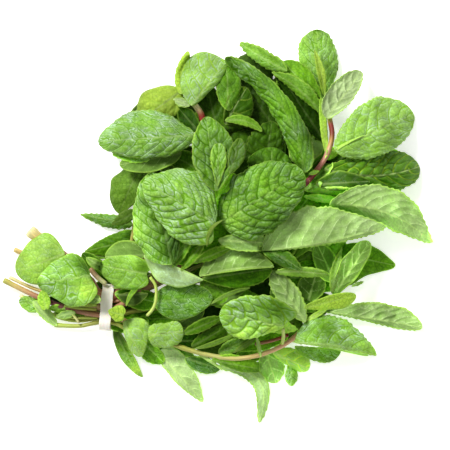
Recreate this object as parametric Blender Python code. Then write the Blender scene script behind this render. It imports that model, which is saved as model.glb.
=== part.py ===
"""A tied bunch of fresh mint, lying on its side on a table.

Ten stems run through one rubber band.  Their cut ends stick out at -X, and their leafy
ends fan out towards +X.  The leaves lie over one another in a low mound, so they are laid
down one at a time from the table upwards: a height field remembers what is already there,
and each new leaf is raised just enough to clear it.

Every length in the tables is in millimetres; the finished objects are in metres.
The part's origin is under the middle of the bunch, at table height.
"""
import math

import bmesh
import bpy
import numpy as np

MILLIMETRE = 0.001

# the mound that the leaves lie on: a flattened dome
MOUND_CENTRE = (8.0, 10.0)
MOUND_RADII = (114.0, 118.0)
MOUND_SKIRT = 6.0
MOUND_RISE = 44.0
MOUND_FULLNESS = 0.75

# leaves
LEAF_THICKNESS = 0.7
LEAF_GAP = 0.5            # air left between one leaf and the next below it
LEAF_LEAST_WIDTH = 0.5    # half the width of the blunt ends, so that no face closes to a line
SIDE_BEND = 1.6           # how late across the blade its sides begin to turn up or down
LOBE_STATION = 0.05       # where along the blade a basal lobe reaches furthest back
LONG_BLADE = 45.0         # a blade longer than this gets the finer grid
FINE_GRID = (10, 7)
PLAIN_GRID = (8, 5)
TABLE_LEVEL = 0.45        # leaves at or below this level are let down until they touch
SAMPLES_ACROSS_FACE = 12
TIPS_ALONG = range(-12, 13, 3)    # how far a blade's ends may tip, one up and one down
TIPS_ACROSS = range(-9, 10, 3)    # the same for its sides
TIP_COST = 0.3                    # lifting that is worth saving by one millimetre of tip

# leaf stalks: a narrow strip from the foot of a blade to its stem, where one is near enough
STALK_HALF_WIDTH = 0.6
STALK_ROWS = 3
STALK_REACH = 17.0
STALK_HUMP = 5.0          # a stalk that would have to climb more than this is left out
STALK_SAMPLES = 40
OPEN_SKY = 1.0            # a stem point counts as uncovered if nothing lies this far above it

# stems
STEM_SIDES = 8
STEM_STEPS = 3            # straight pieces between one listed point and the next

# rubber band
BAND_WIDTH = 7.2
BAND_THICKNESS = 1.0
BAND_HEIGHT = 12.2
BAND_SPAN = 28.4
BAND_CENTRE = (-71.4, -49.6)
BAND_LEAN = math.radians(-5.0)
BAND_EDGE_ROUND = 0.25
BAND_END_STEPS = 8
BAND_SIDE_STEPS = 4

# height field
CELL = 1.0
FIELD_HALF = 140

# name, radius at the cut end, radius at the leafy end, points along the stem
STEMS = [
    ("stem_low", 1.6, 1.3, [(-132, -34, 6), (-119, -40.5, 7), (-104, -47, 8), (-88, -52, 8.4),
                            (-76.3, -54.2, 8.4), (-66.3, -55, 8.6), (-48, -64, 11), (-30, -72, 14),
                            (-14, -77, 15.5), (4, -80, 16.5), (20, -78, 17), (35, -72, 17),
                            (46, -63, 17), (55, -52, 16)]),
    ("stem_thick", 2.8, 1.7, [(-118, -3.5, 7), (-106, -13, 7.5), (-92, -24, 7.8), (-82, -34, 7.9),
                              (-76.3, -41.1, 7.9), (-66.3, -42, 8), (-58, -36, 9.5), (-44, -16, 12),
                              (-30, 10, 16), (-20, 38, 20), (-13.5, 62, 22), (-19.5, 74, 25)]),
    ("stem_brown", 1.3, 1.2, [(-126, -15.5, 3), (-110, -22.5, 3.2), (-94, -31.5, 3.3), (-84, -37.5, 3.4),
                              (-76.3, -40.9, 3.4), (-66.3, -41.8, 3.6), (-61, -33, 6), (-57, -16, 12.5),
                              (-53, 8, 15)]),
    ("stem_crown", 1.7, 1.2, [(-99, -33.5, 3.4), (-86, -41.5, 3.4), (-76.3, -44.8, 3.4),
                              (-66.3, -45.6, 3.5), (-56, -40, 5), (-40, -27, 10), (-22, -12, 18),
                              (-10, -1, 30), (-6.5, 4, 42)]),
    ("stem_thin", 1.0, 0.9, [(-130, -31.5, 6), (-116, -38, 7), (-101, -42.5, 8), (-86, -45, 8),
                             (-76.3, -45.2, 8), (-66.3, -46, 8), (-54, -42.5, 9), (-36, -34, 12),
                             (-14, -24, 16), (6, -18, 20)]),
    ("stem_right", 1.5, 1.2, [(-92, -48, 3.2), (-76.3, -48.8, 3.2), (-66.3, -49.6, 3.4),
                              (-48, -44, 6), (-18, -34, 12), (16, -24, 17), (42, -12, 19),
                              (58, -3, 18), (66, 5, 17)]),
    ("stem_red", 1.8, 1.4, [(-90, -47.5, 7.6), (-76.3, -49.6, 7.6), (-66.3, -50.4, 8.4), (-50, -39, 14),
                            (-22, -22, 20), (8, -3, 26), (32, 12, 31), (46, 23, 34), (54, 32, 35),
                            (60.5, 42, 35), (63.5, 53, 34), (62, 64, 32)]),
    ("stem_yellow", 1.7, 1.2, [(-85, -53.6, 3.4), (-76.3, -52.9, 3.4), (-66.3, -53.7, 3.6),
                               (-50, -51, 5), (-16, -47, 8), (16, -44, 11), (40, -47, 13),
                               (49, -49, 14)]),
    ("stem_pale", 1.0, 0.9, [(-124, -42.5, 4), (-112, -49.5, 4), (-100, -56, 3.4), (-88, -58, 3),
                             (-76.3, -56.6, 3), (-66.3, -57.4, 3), (-57, -60, 3.5), (-51, -64.5, 4.5)]),
    ("stem_edge", 1.2, 1.0, [(-103, -60.5, 3), (-88, -61, 4.5), (-76.3, -58.8, 5.6),
                             (-66.3, -59.6, 5.6), (-58, -64, 6), (-50, -69, 7)]),
]

# stalks that show above the leaves; each is laid after the leaf named last
STALKS = [
    ("stalk_front", 0.9, 0.9, [(-44.5, -31, 30), (-41.3, -36, 29.5), (-41, -44, 28), (-43, -50, 26),
                               (-46.5, -54, 24)], "mid_oval"),
    ("stalk_low", 1.0, 1.0, [(34.5, -61.5, 28), (34.8, -66.5, 25), (34.3, -71, 21)], "right_big_pale"),
]

# name, base, tip, bow, widths left (base, middle, tip), widths right, lobes (left, right),
# level in the mound, rise (base, middle, tip), rise of the sides (left, right)
LOW_LEAVES = [
    ("low_veined", (24, -75), (31, -95.5), 0, (7, 8, 7), (5, 7, 7), (0, 0), .1, (2, 1, -2), (0, -1)),
    ("low_light", (29, -77), (51, -87), 0, (6, 8, 9), (3, 4, 6), (0, 0), .15, (2, 2, -2), (-1, -1)),
    ("low_shade", (42, -73), (70, -76.5), 0, (1, 1, 3), (5, 8.5, 9), (0, 0), .15, (3, 2, -3), (0, -2)),
    ("low_hang", (-4, -86), (20.5, -119.5), 16, (4.5, 4, 3.5), (4, 6.5, 5), (0, 0), .15, (3, 2, -4),
     (-2, -2)),
    ("low_tail", (-67, -61), (-50, -92), -1.5, (3, 3.4, 2.4), (3, 4.5, 2.8), (0, 0), .1, (-3, 1, -2),
     (2, -2)),
    ("low_long", (-41, -77), (-13.5, -107), 1, (15.5, 9, 4), (5, 3.5, 1.5), (0, 0), .15, (2, 3, -4),
     (-2, -2)),
    ("left_spike", (-56, 0), (-87.5, 6.5), 0, (5, 4.5, 2), (6, 3.5, 1.5), (0, 0), .15, (3, 3, -3),
     (-2, -2)),
    ("left_shade", (-50, -7.5), (-85, -16), 0, (6, 7, 3), (9, 6.5, 2), (0, 0), .15, (3, 2, -3), (-1, -2)),
    ("right_low_dark", (68, -17), (103, -24.5), 0, (10, 9, 4.5), (28, 12, 6), (0, 0), .25, (4, 3, -5),
     (-3, -3)),
    ("right_low_pale", (60, -52.3), (119, -62), .5, (5, 10, 12.5), (1, 2.5, 6), (0, 0), .3,
     (5, 4, -5), (-4, -3)),
]
LEAVES = [
    ("right_low_big", (42, -70.5), (91.5, -79), 2.5, (20, 17, 7), (1, 1.6, 1.6), (0, 0), .4,
     (6, 5, -6), (-6, -1)),
    ("right_inner", (65, -42), (88, -7), 0, (5, 8, 9), (4, 6, 7), (0, 0), .55, (2, 4, 0), (3, -3)),
    ("left_olive", (-50, 38), (-64, 7), 0, (9, 8.5, 4.5), (12.5, 16, 10), (0, 0), .4, (2, 4, -6), (2, -6)),
    ("right_dark", (59, 33), (117.5, 35.5), -5, (9, 15, 17), (5, 9, 15.5), (0, 0), .4, (0, 3, -6),
     (-4, -5)),
    ("right_mid", (54, 24), (86, 26), 0, (6, 6.5, 3), (4, 5, 4), (0, 0), .4, (0, 2, -2), (2, -2)),
    ("top_left_yellow", (-26, 80), (-51, 62), 0, (9, 10.5, 7), (10, 13, 13.5), (0, 0), .6, (0, 3, -4),
     (-2, -5)),
    ("upper_left_under", (-26, 43), (-63, 36), 0, (7, 8, 7), (8, 8, 6), (0, 0), .6, (0, 0, -3), (0, -2)),
    ("mid_serrated", (24, 35), (28, 62), 0, (9, 13, 7), (8, 9, 7), (0, 0), .6, (0, 1, 0), (0, 0)),
    ("mid_striped", (0, 60), (13, 82), 0, (4, 6, 7), (7, 11, 6), (0, 0), .62, (0, 1, 0), (3, 0)),
    ("top_upright", (58.5, 69), (55.5, 118), 0, (3, 11.5, 15), (4, 11, 15), (0, 0), .4, (8, 5, -6),
     (-3, -4)),
    ("top_mid", (57, 71), (35, 98), 0, (3, 4, 4), (4, 9, 8), (0, 0), .68, (3, 3, -2), (0, 2)),
    ("top_spike", (37, 92), (9, 109.5), 1, (4, 4.5, 3), (5, 5, 4), (0, 0), .7, (0, 2, -3), (-4, 4)),
    ("top_fishbone", (57, 67), (28, 91), -2, (3, 3, 2), (5, 6, 3), (0, 0), .78, (0, 3, 0), (-2, 2)),
    ("top_fan", (-20, 71), (1, 98), 0, (14, 16.5, 24), (3, 4, 5), (0, 0), .7, (0, 3, -2), (-4, -3)),
    ("right_top", (65, 44.5), (114, 67), 0, (12, 18, 22), (13, 15, 13), (0, 0), .7, (2, 4, -6), (-4, -3)),
    ("top_pale", (60, 63), (82.5, 92.5), 0, (8, 9.3, 8), (4.5, 6, 5), (0, 0), .76, (2, 3, -2), (3, 2)),
    ("crown_back", (26, 22), (28, 46), 0, (12, 14, 14), (12, 13, 12), (0, 0), .82, (-2, 0, -4), (-3, -3)),
    ("right_long", (62, 12), (124.5, -10.5), 7, (10, 15.5, 5), (4, 8, 6), (0, 0), .45, (0, 4, -8),
     (-4, -3)),
    ("low_mid_pale", (48, -58), (28, -27), 0, (4, 7, 7), (5, 7, 5), (0, 0), .58, (2, 3, 0), (0, -3)),
    ("right_yellow", (47, -49.5), (78.5, -42), 0, (3, 3.5, 4), (2, 5.5, 7), (0, 0), .6, (2, 2, 0), (2, -2)),
    ("tail_left", (-96, -17), (-125.5, -28.5), 0, (12, 14, 11), (22, 15.5, 13), (0, 0), .4,
     (2, 2, -2), (-3, -5)),
    ("tail_right", (-80, -30), (-112.5, -35), 0, (26, 15.5, 10), (17, 14, 8), (4, 0), .45, (3, 3, -2),
     (-3, -6)),
    ("band_low_pale", (-61, -58), (-50, -79), 0, (17, 11.5, 4), (2, 4.5, 6), (0, 0), .45, (2, 2, -3),
     (0, -3)),
    ("low_square", (-46, -66), (-25, -63.5), 0, (11, 6.5, 12), (13, 9, 12), (0, 0), .45, (2, 2, 0),
     (-1, -3)),
    ("band_back", (-48, -18), (-72, -19), 0, (4, 4, 4), (10, 9, 7), (0, 0), .5, (0, 2, -2), (0, -2)),
    ("band_front", (-46.5, -29), (-75, -24), 0, (15, 10.5, 8), (12, 9, 7), (3, 4), .62, (2, 3, -2),
     (-3, -2)),
    ("mid_oval", (-42.5, -45.5), (-7.5, -43), 0, (11, 9.8, 9), (12, 12.5, 9), (0, 0), .6, (2, 2, 0),
     (-2, -2)),
    ("mid_pale_long", (-15, -30.5), (29, -25), 0, (2, 14, 6), (1, 1.5, 1), (0, 0), .72, (2, 2, 0), (-4, 0)),
    ("mid_folded", (-48, -18), (-13, -32.5), 0, (1, 1.3, 1), (4, 11.5, 3), (0, 0), .75, (2, 2, 0), (0, -5)),
    ("crown_back_left", (-31, -23), (-44, 31), 0, (21, 18, 17), (10, 9, 12), (0, 0), .84, (-2, 0, -3),
     (-5, 0)),
    ("right_big_pale", (22, -15.5), (96, -1), -2, (20, 21.5, 8), (1, 1.5, 4), (0, 0), .78, (0, 4, -4),
     (-4, 0)),
    ("arch", (47, 31), (0, 99), -15, (6, 9.5, 6), (18, 16, 9.5), (0, 0), .88, (-2, 6, -3), (-4, -5)),
    ("upper_left", (-16.5, 54.5), (-76, 50), 0, (11, 10.5, 9), (12, 18, 12), (0, 0), .8, (2, 4, -5),
     (-4, -5)),
    ("low_front", (35, -60), (-3, -52), 0, (3, 12.5, 13), (22, 15, 13), (1, 8), .85, (2, 3, -2), (-2, 3)),
    ("crown_right", (-2, 1), (46, 31), 0, (16, 19.5, 18), (26, 20, 16), (0, 0), .96, (0, 4, -3), (-4, -4)),
    ("crown_left", (-6, 1), (-50, 27), 0, (28, 17.3, 13), (15, 21, 11), (6.5, 0), 1, (0, 4, -3), (-4, -4)),
    ("crown_up", (-5, 20), (-11, 64), 0, (8, 11, 8), (8, 14.5, 9), (0, 0), .97, (4, 3, -2), (3, 2)),
]

PALE_LEAVES = {"low_long", "low_hang", "low_veined", "low_light", "right_low_pale", "right_inner", "top_fan",
               "top_pale", "right_long", "low_mid_pale", "band_low_pale", "low_square", "band_back",
               "mid_pale_long", "mid_folded", "right_big_pale", "upper_left_under"}
DARK_LEAVES = {"low_shade", "left_shade", "right_low_dark", "right_dark", "right_mid", "mid_serrated",
               "mid_striped", "mid_oval", "crown_back", "left_olive"}

COLOURS = {
    "leaf_green": ((0.13, 0.30, 0.03), 0.45),
    "leaf_dark": ((0.04, 0.13, 0.01), 0.40),
    "leaf_pale": ((0.36, 0.53, 0.17), 0.60),
    "stem": ((0.42, 0.32, 0.12), 0.50),
    "band": ((0.83, 0.72, 0.60), 0.55),
}


def three_point(values, t):
    """The parabola through three values given at t = 0, 1/2 and 1."""
    first, middle, last = values
    return first * (1 - t) * (1 - 2 * t) + middle * 4 * t * (1 - t) + last * t * (2 * t - 1)


def mound(x, y):
    """Height of the dome over the point x, y."""
    across = ((x - MOUND_CENTRE[0]) / MOUND_RADII[0]) ** 2
    along = ((y - MOUND_CENTRE[1]) / MOUND_RADII[1]) ** 2
    return MOUND_SKIRT + MOUND_RISE * np.clip(1 - across - along, 0, 1) ** MOUND_FULLNESS


def blade(leaf, grid):
    """A leaf's middle surface as three arrays of x, y and z.

    The midrib runs from base to tip on a bowed line.  Half the width is an ellipse times a
    parabola, with a lobe reaching back at the base.  The height follows the mound at the
    leaf's level, with its own rise along the midrib and its own rise at each side.
    """
    _, base, tip, bow, left, right, lobes, level, rise, sides = leaf
    chord = np.subtract(tip, base)
    along = chord / np.hypot(*chord)
    normal = np.array([-along[1], along[0]])
    station = np.linspace(0, 1, grid[0])[:, None]
    across = np.linspace(-1, 1, grid[1])[None, :]
    t = (1 - np.cos(np.pi * station)) / 2
    swell = np.sin(np.pi * station)
    is_left = across > 0

    bend = 4 * bow * t * (1 - t)
    turn = 4 * bow * (1 - 2 * t)
    forward_x = chord[0] + normal[0] * turn
    forward_y = chord[1] + normal[1] * turn
    length = np.hypot(forward_x, forward_y)
    half = swell * np.where(is_left, three_point(left, t), three_point(right, t))
    half = np.maximum(half, LEAF_LEAST_WIDTH)
    ratio = t / LOBE_STATION
    back = np.where(is_left, lobes[0], lobes[1]) * ratio * np.exp(1 - ratio) * across ** 2
    x = base[0] + chord[0] * t + normal[0] * bend - forward_y / length * across * half - back * along[0]
    y = base[1] + chord[1] * t + normal[1] * bend + forward_x / length * across * half - back * along[1]
    side = np.where(is_left, sides[0], sides[1]) * np.abs(across) ** SIDE_BEND * swell
    return x, y, level * mound(x, y) + three_point(rise, t) + side


class HeightField:
    """Remembers, cell by cell, how high the bunch already reaches."""

    def __init__(self):
        self.top = np.full((2 * FIELD_HALF, 2 * FIELD_HALF), -1e3)

    def cells(self, x, y):
        """The field's row and column for points x, y."""
        column = np.clip((x / CELL + FIELD_HALF).astype(int), 1, 2 * FIELD_HALF - 2)
        row = np.clip((y / CELL + FIELD_HALF).astype(int), 1, 2 * FIELD_HALF - 2)
        return row, column

    def spread(self):
        """The field with each cell raised to its highest neighbour."""
        wide = self.top.copy()
        for down in (-1, 0, 1):
            for over in (-1, 0, 1):
                wide = np.maximum(wide, np.roll(self.top, (down, over), axis=(0, 1)))
        return wide

    def height(self, x, y):
        """How high the bunch reaches under the points x, y."""
        row, column = self.cells(x, y)
        return self.spread()[row, column]

    def add(self, x, y, high):
        """Record the points' heights."""
        row, column = self.cells(x, y)
        np.maximum.at(self.top, (row, column), high)


def sampled(values):
    """Points inside each face of a grid, by linear steps in both directions."""
    steps = np.linspace(0, 1, SAMPLES_ACROSS_FACE)
    u, v = np.meshgrid(steps, steps, indexing="ij")
    weights = [(1 - u) * (1 - v), u * (1 - v), (1 - u) * v, u * v]
    corners = [values[:-1, :-1], values[1:, :-1], values[:-1, 1:], values[1:, 1:]]
    return sum(c[..., None, None] * w for c, w in zip(corners, weights)).ravel()


def lay_leaf(leaf, field):
    """Place one leaf on the field and return its surface.

    The leaf may tip along and across its length.  Of the tips tried, the one that needs the
    least lifting is kept.
    """
    chord = np.subtract(leaf[2], leaf[1])
    grid = FINE_GRID if np.hypot(*chord) > LONG_BLADE else PLAIN_GRID
    x, y, z = blade(leaf, grid)
    half = LEAF_THICKNESS / 2
    px, py = sampled(x), sampled(y)
    ground = field.height(px, py)
    along = np.linspace(-1, 1, grid[0])[:, None] + np.zeros(grid[1])
    across = np.linspace(-1, 1, grid[1])[None, :] + np.zeros((grid[0], 1))
    best = None
    for tip_along in TIPS_ALONG:
        for tip_across in TIPS_ACROSS:
            tried = z + tip_along * along + tip_across * across
            need = max(LEAF_GAP + half - float(np.min(sampled(tried) - ground)), half - tried.min())
            lift = need if leaf[7] <= TABLE_LEVEL else max(0.0, need)
            cost = lift + TIP_COST * (abs(tip_along) + abs(tip_across))
            if best is None or cost < best[0]:
                best = (cost, lift, tried + lift, tip_along, tip_across)
    _, lift, z, tip_along, tip_across = best
    field.add(px, py, sampled(z) + half)
    print("%-18s lifted %6.2f mm, tipped %3d %3d, z %6.2f to %6.2f"
          % (leaf[0], lift, tip_along, tip_across, z.min() - half, z.max() + half))
    return np.stack([x, y, z])


def add_stalk(surface, stems, field, from_below):
    """The same surface with a stalk in front of it that reaches the nearest free stem.

    The stalk leaves the blade in line with its midrib and is lifted over whatever it
    crosses.  Leaves under the stems reach up to them; all others come down on top of them.
    """
    foot = surface[:, 0].mean(axis=1)
    heading = surface[:2, 1].mean(axis=1) - foot[:2]
    heading /= np.hypot(*heading)
    half = LEAF_THICKNESS / 2
    x, y, z, radius = stems
    if from_below:
        ends = z - radius - half - LEAF_GAP
        free = ends > foot[2]
    else:
        ends = z + radius + half + LEAF_GAP
        free = (np.abs(field.height(x, y) - z - radius) < OPEN_SKY) & (ends < foot[2] + LEAF_THICKNESS)
    far = np.sqrt((x - foot[0]) ** 2 + (y - foot[1]) ** 2 + (ends - foot[2]) ** 2)
    far[~free] = np.inf
    nearest = int(np.argmin(far))
    if far[nearest] > STALK_REACH or far[nearest] < 2 * STALK_HALF_WIDTH:
        return surface
    start = np.array([x[nearest], y[nearest], ends[nearest]])
    turn = foot[:2] - heading * far[nearest] / 2

    def path(s):
        plan = [(1 - s) ** 2 * start[i] + 2 * s * (1 - s) * turn[i] + s ** 2 * foot[i] for i in (0, 1)]
        return plan[0], plan[1], start[2] + (foot[2] - start[2]) * s

    fine = np.linspace(0, 1, STALK_SAMPLES)
    px, py, pz = path(fine)
    inner = slice(3, -3)
    short = LEAF_GAP + half - (pz - field.height(px, py))[inner]
    bump = 0.0 if from_below else max(0.0, float(np.max(short / (4 * fine * (1 - fine))[inner])))
    if bump > STALK_HUMP:
        return surface
    s = np.linspace(0, 1, STALK_ROWS + 1)[:-1, None]
    ax, ay, az = path(s)
    bx, by, _ = path(s + 0.01)
    length = np.hypot(bx - ax, by - ay)
    across = np.linspace(-1, 1, surface.shape[2])[None, :] * STALK_HALF_WIDTH
    stalk = np.stack([ax - (by - ay) / length * across, ay + (bx - ax) / length * across,
                      az + bump * 4 * s * (1 - s) + 0 * across])
    field.add(px, py, pz + bump * 4 * fine * (1 - fine) + half)
    return np.concatenate([stalk, surface], axis=1)


def stem_path(points, first, last):
    """A smooth path through the listed points, and the radius at each of its steps."""
    knots = np.array(points, float)
    padded = np.vstack([2 * knots[0] - knots[1], knots, 2 * knots[-1] - knots[-2]])
    path = []
    for i in range(1, len(padded) - 2):
        a, b, c, d = padded[i - 1:i + 3]
        for step in range(STEM_STEPS):
            t = step / STEM_STEPS
            path.append(0.5 * (2 * b + (c - a) * t + (2 * a - 5 * b + 4 * c - d) * t ** 2
                               + (3 * b - a - 3 * c + d) * t ** 3))
    path.append(knots[-1])
    path = np.array(path)
    reach = np.concatenate([[0], np.cumsum(np.linalg.norm(np.diff(path, axis=0), axis=1))])
    return path, first + (last - first) * reach / reach[-1]


def lay_stem(stem, field, may_rise):
    """Place one stem on the field and return its path and radii."""
    name, first, last, points = stem
    path, radii = stem_path(points, first, last)
    dense = np.linspace(0, len(path) - 1, 20 * len(path))
    x, y, z, r = (np.interp(dense, range(len(path)), v) for v in (*path.T, radii))
    side = np.linspace(-1, 1, 5)[:, None]
    heading = np.arctan2(np.gradient(y), np.gradient(x))
    px = x - np.sin(heading) * r * side
    py = y + np.cos(heading) * r * side
    clear = float(np.min(z - r - field.height(px, py)))
    lift = max(0.0, LEAF_GAP - clear) if may_rise else 0.0
    path[:, 2] += lift
    print("%-18s clearance %6.2f mm, lifted %6.2f" % (name, clear, lift))
    return path, radii, (px, py, z + lift + r * np.sqrt(1 - side ** 2))


def new_object(name, mesh, colour):
    """Link a mesh as an object with a material of its own."""
    obj = bpy.data.objects.new(name, mesh)
    bpy.context.collection.objects.link(obj)
    material = bpy.data.materials.new(name + "_material")
    material.use_nodes = True
    surface = material.node_tree.nodes["Principled BSDF"]
    rgb, roughness = COLOURS[colour]
    surface.inputs["Base Color"].default_value = (*rgb, 1)
    surface.inputs["Roughness"].default_value = roughness
    surface.inputs["Metallic"].default_value = 0.0
    mesh.materials.clear()
    mesh.materials.append(material)
    return obj


def make_leaf(name, surface, colour):
    """A closed thin blade: the laid surface as a sheet, thickened to both sides."""
    _, rows, columns = surface.shape
    points = surface.reshape(3, -1).T * MILLIMETRE
    sheet = bmesh.new()
    corners = [sheet.verts.new(p) for p in points]
    for i in range(rows - 1):
        for j in range(columns - 1):
            k = i * columns + j
            sheet.faces.new([corners[k], corners[k + columns], corners[k + columns + 1], corners[k + 1]])
    mesh = bpy.data.meshes.new(name)
    sheet.to_mesh(mesh)
    sheet.free()
    for face in mesh.polygons:
        face.use_smooth = True
    obj = new_object(name, mesh, colour)
    thicken = obj.modifiers.new("thickness", "SOLIDIFY")
    thicken.thickness = LEAF_THICKNESS * MILLIMETRE
    thicken.offset = 0.0
    return obj


def make_stem(name, path, radii):
    """A tapering round stem: a curve with a round bevel and filled ends."""
    curve = bpy.data.curves.new(name, "CURVE")
    curve.dimensions = "3D"
    curve.bevel_depth = MILLIMETRE
    curve.bevel_resolution = STEM_SIDES // 2 - 2
    curve.use_fill_caps = True
    curve.render_resolution_u = 0
    line = curve.splines.new("POLY")
    line.points.add(len(path) - 1)
    for point, place, radius in zip(line.points, path, radii):
        point.co = (*(place * MILLIMETRE), 1)
        point.radius = radius
    line.use_smooth = True
    return new_object(name, curve, "stem")


def band_loop():
    """The band's outline in its own plane: flat below and above, round at both ends."""
    radius = BAND_HEIGHT / 2
    reach = BAND_SPAN / 2 - radius
    turn = np.linspace(-np.pi / 2, np.pi / 2, BAND_END_STEPS + 1)
    run = np.linspace(-reach, reach, BAND_SIDE_STEPS + 1)[1:-1]
    v = np.concatenate([reach + radius * np.cos(turn), run[::-1], -reach - radius * np.cos(turn), run])
    w = np.concatenate([radius * np.sin(turn), 0 * run + radius, -radius * np.sin(turn), 0 * run - radius])
    return v, w + radius


def on_band(along, across, high):
    """Points given along the bunch, across it and up, turned with the band's lean."""
    cos, sin = math.cos(BAND_LEAN), math.sin(BAND_LEAN)
    x = BAND_CENTRE[0] + cos * along - sin * across
    y = BAND_CENTRE[1] + sin * along + cos * across
    return x, y, high + 0 * x


def make_band():
    """The rubber band: a strip of constant width and thickness bent round the stems."""
    v, w = band_loop()
    inward = 1 - 2 * BAND_THICKNESS / BAND_HEIGHT
    reach = BAND_SPAN / 2 - BAND_HEIGHT / 2
    inner_v = np.clip(v, -reach, reach) + (v - np.clip(v, -reach, reach)) * inward
    inner_w = BAND_HEIGHT / 2 + (w - BAND_HEIGHT / 2) * inward
    half = BAND_WIDTH / 2
    edges = [(-half, v, w), (half, v, w), (half, inner_v, inner_w), (-half, inner_v, inner_w)]
    strip = bmesh.new()
    rings = []
    for edge in edges:
        rings.append([strip.verts.new(np.array(p) * MILLIMETRE) for p in zip(*on_band(*edge))])
    count = len(v)
    for near, far in zip(rings, rings[1:] + rings[:1]):
        for i in range(count):
            j = (i + 1) % count
            strip.faces.new([near[i], near[j], far[j], far[i]])
    bmesh.ops.recalc_face_normals(strip, faces=strip.faces)
    mesh = bpy.data.meshes.new("rubber_band")
    strip.to_mesh(mesh)
    strip.free()
    for face in mesh.polygons:
        face.use_smooth = True
    obj = new_object("rubber_band", mesh, "band")
    soften = obj.modifiers.new("soft_edges", "BEVEL")
    soften.width = BAND_EDGE_ROUND * MILLIMETRE
    soften.segments = 1
    soften.limit_method = "ANGLE"
    soften.angle_limit = math.radians(60)
    return obj


def centre_on_table(objects):
    """Move everything so that the whole box stands on the table with its middle over the origin."""
    bpy.context.view_layer.update()
    shapes = bpy.context.evaluated_depsgraph_get()
    corners = []
    for obj in objects:
        mesh = obj.evaluated_get(shapes).to_mesh()
        corners.extend([v.co.to_tuple() for v in mesh.vertices])
        obj.evaluated_get(shapes).to_mesh_clear()
    low, high = np.min(corners, axis=0), np.max(corners, axis=0)
    shift = -np.array([(low[0] + high[0]) / 2, (low[1] + high[1]) / 2, low[2]])
    for obj in objects:
        if obj.type == "CURVE":
            for point in obj.data.splines[0].points:
                point.co = (*(np.array(point.co[:3]) + shift), 1)
        else:
            for vertex in obj.data.vertices:
                vertex.co = np.array(vertex.co) + shift
    print("box in mm:", np.round((high - low) / MILLIMETRE, 1), "shift", np.round(shift / MILLIMETRE, 2))


def leaf_colour(name):
    """Which of the three leaf colours a leaf has."""
    if name in PALE_LEAVES:
        return "leaf_pale"
    return "leaf_dark" if name in DARK_LEAVES else "leaf_green"


def main():
    """Lay the whole bunch, from the table upwards."""
    for obj in list(bpy.data.objects):
        bpy.data.objects.remove(obj, do_unlink=True)
    field = HeightField()
    objects = [make_band()]
    low = [lay_leaf(leaf, field) for leaf in LOW_LEAVES]
    laid = [lay_stem(stem, field, False) for stem in STEMS]
    stems = np.concatenate([np.vstack([path.T, radii]) for path, radii, _ in laid], axis=1)
    stems = stems[:, np.abs(stems[0] - BAND_CENTRE[0]) > BAND_WIDTH]
    for leaf, surface in zip(LOW_LEAVES, low):
        surface = add_stalk(surface, stems, field, True)
        objects.append(make_leaf(leaf[0], surface, leaf_colour(leaf[0])))
    for stem, (path, radii, skin) in zip(STEMS, laid):
        objects.append(make_stem(stem[0], path, radii))
        field.add(*skin)
    field.add(*on_band(np.linspace(-1, 1, 9)[:, None] * BAND_WIDTH / 2, *band_loop()))
    for leaf in LEAVES:
        surface = add_stalk(lay_leaf(leaf, field), stems, field, False)
        objects.append(make_leaf(leaf[0], surface, leaf_colour(leaf[0])))
        for stalk in STALKS:
            if stalk[4] == leaf[0]:
                path, radii, skin = lay_stem(stalk[:4], field, True)
                objects.append(make_stem(stalk[0], path, radii))
                field.add(*skin)
    centre_on_table(objects)


main()
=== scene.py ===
# %% [markdown]
# # A bunch of fresh mint
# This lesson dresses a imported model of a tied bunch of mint, lying on its side.  The packed
# model holds sixty plain nodes: forty-seven blades, twelve stems and the rubber band.  Each
# of them is replaced here by a finer surface that lies in the same place, and the leaves and
# stalks between them, which are too many for nodes, are added.
#
# Every shape is a function of two parameters worked out on a grid with numpy.  A leaf is a
# sheet over (along, across), a stem is a ring carried along a path, and the band is a flat
# section carried round a loop.

# %% Load the frame
import math

import bpy
import numpy as np
from mathutils.bvhtree import BVHTree
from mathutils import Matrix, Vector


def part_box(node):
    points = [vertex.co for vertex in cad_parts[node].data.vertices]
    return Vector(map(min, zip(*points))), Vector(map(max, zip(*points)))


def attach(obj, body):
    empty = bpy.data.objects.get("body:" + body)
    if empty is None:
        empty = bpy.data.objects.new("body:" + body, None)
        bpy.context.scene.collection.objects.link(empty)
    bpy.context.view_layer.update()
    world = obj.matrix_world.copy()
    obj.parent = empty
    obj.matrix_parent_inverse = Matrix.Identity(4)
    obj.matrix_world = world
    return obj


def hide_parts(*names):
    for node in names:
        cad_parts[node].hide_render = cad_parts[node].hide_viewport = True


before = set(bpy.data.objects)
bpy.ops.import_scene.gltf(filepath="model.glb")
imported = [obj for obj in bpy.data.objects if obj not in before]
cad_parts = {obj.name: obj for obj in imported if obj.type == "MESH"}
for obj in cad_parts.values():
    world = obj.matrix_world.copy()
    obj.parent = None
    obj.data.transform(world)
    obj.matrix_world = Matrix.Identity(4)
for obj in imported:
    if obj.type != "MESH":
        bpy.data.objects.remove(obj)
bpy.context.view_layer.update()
MM = 0.001
BODY = "root"
print("nodes in the frame:", len(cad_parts))

# %% [markdown]
# ## Where things are
# The bunch was designed on a plan whose zero lies near its middle, in millimetres.  The
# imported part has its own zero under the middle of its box.  The rubber band is the one made
# thing in the bunch, and it is the same on both sides of its centre, so the middle of its
# box tells how far the plan was moved.

# %% The plan's place in the part
BAND_CENTRE = np.array([-71.4, -49.6])
band_low, band_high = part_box("rubber_band")
PLAN_SHIFT = np.array([(band_low[i] + band_high[i]) / 2 / MM - BAND_CENTRE[i] for i in (0, 1)])
print("the plan moved by", PLAN_SHIFT.round(2), "mm")


def to_part(x, y, z):
    """Plan points in millimetres as points of the part in metres, in one array of shape (..., 3)."""
    return np.stack([x + PLAN_SHIFT[0], y + PLAN_SHIFT[1], z], axis=-1) * MM


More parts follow.
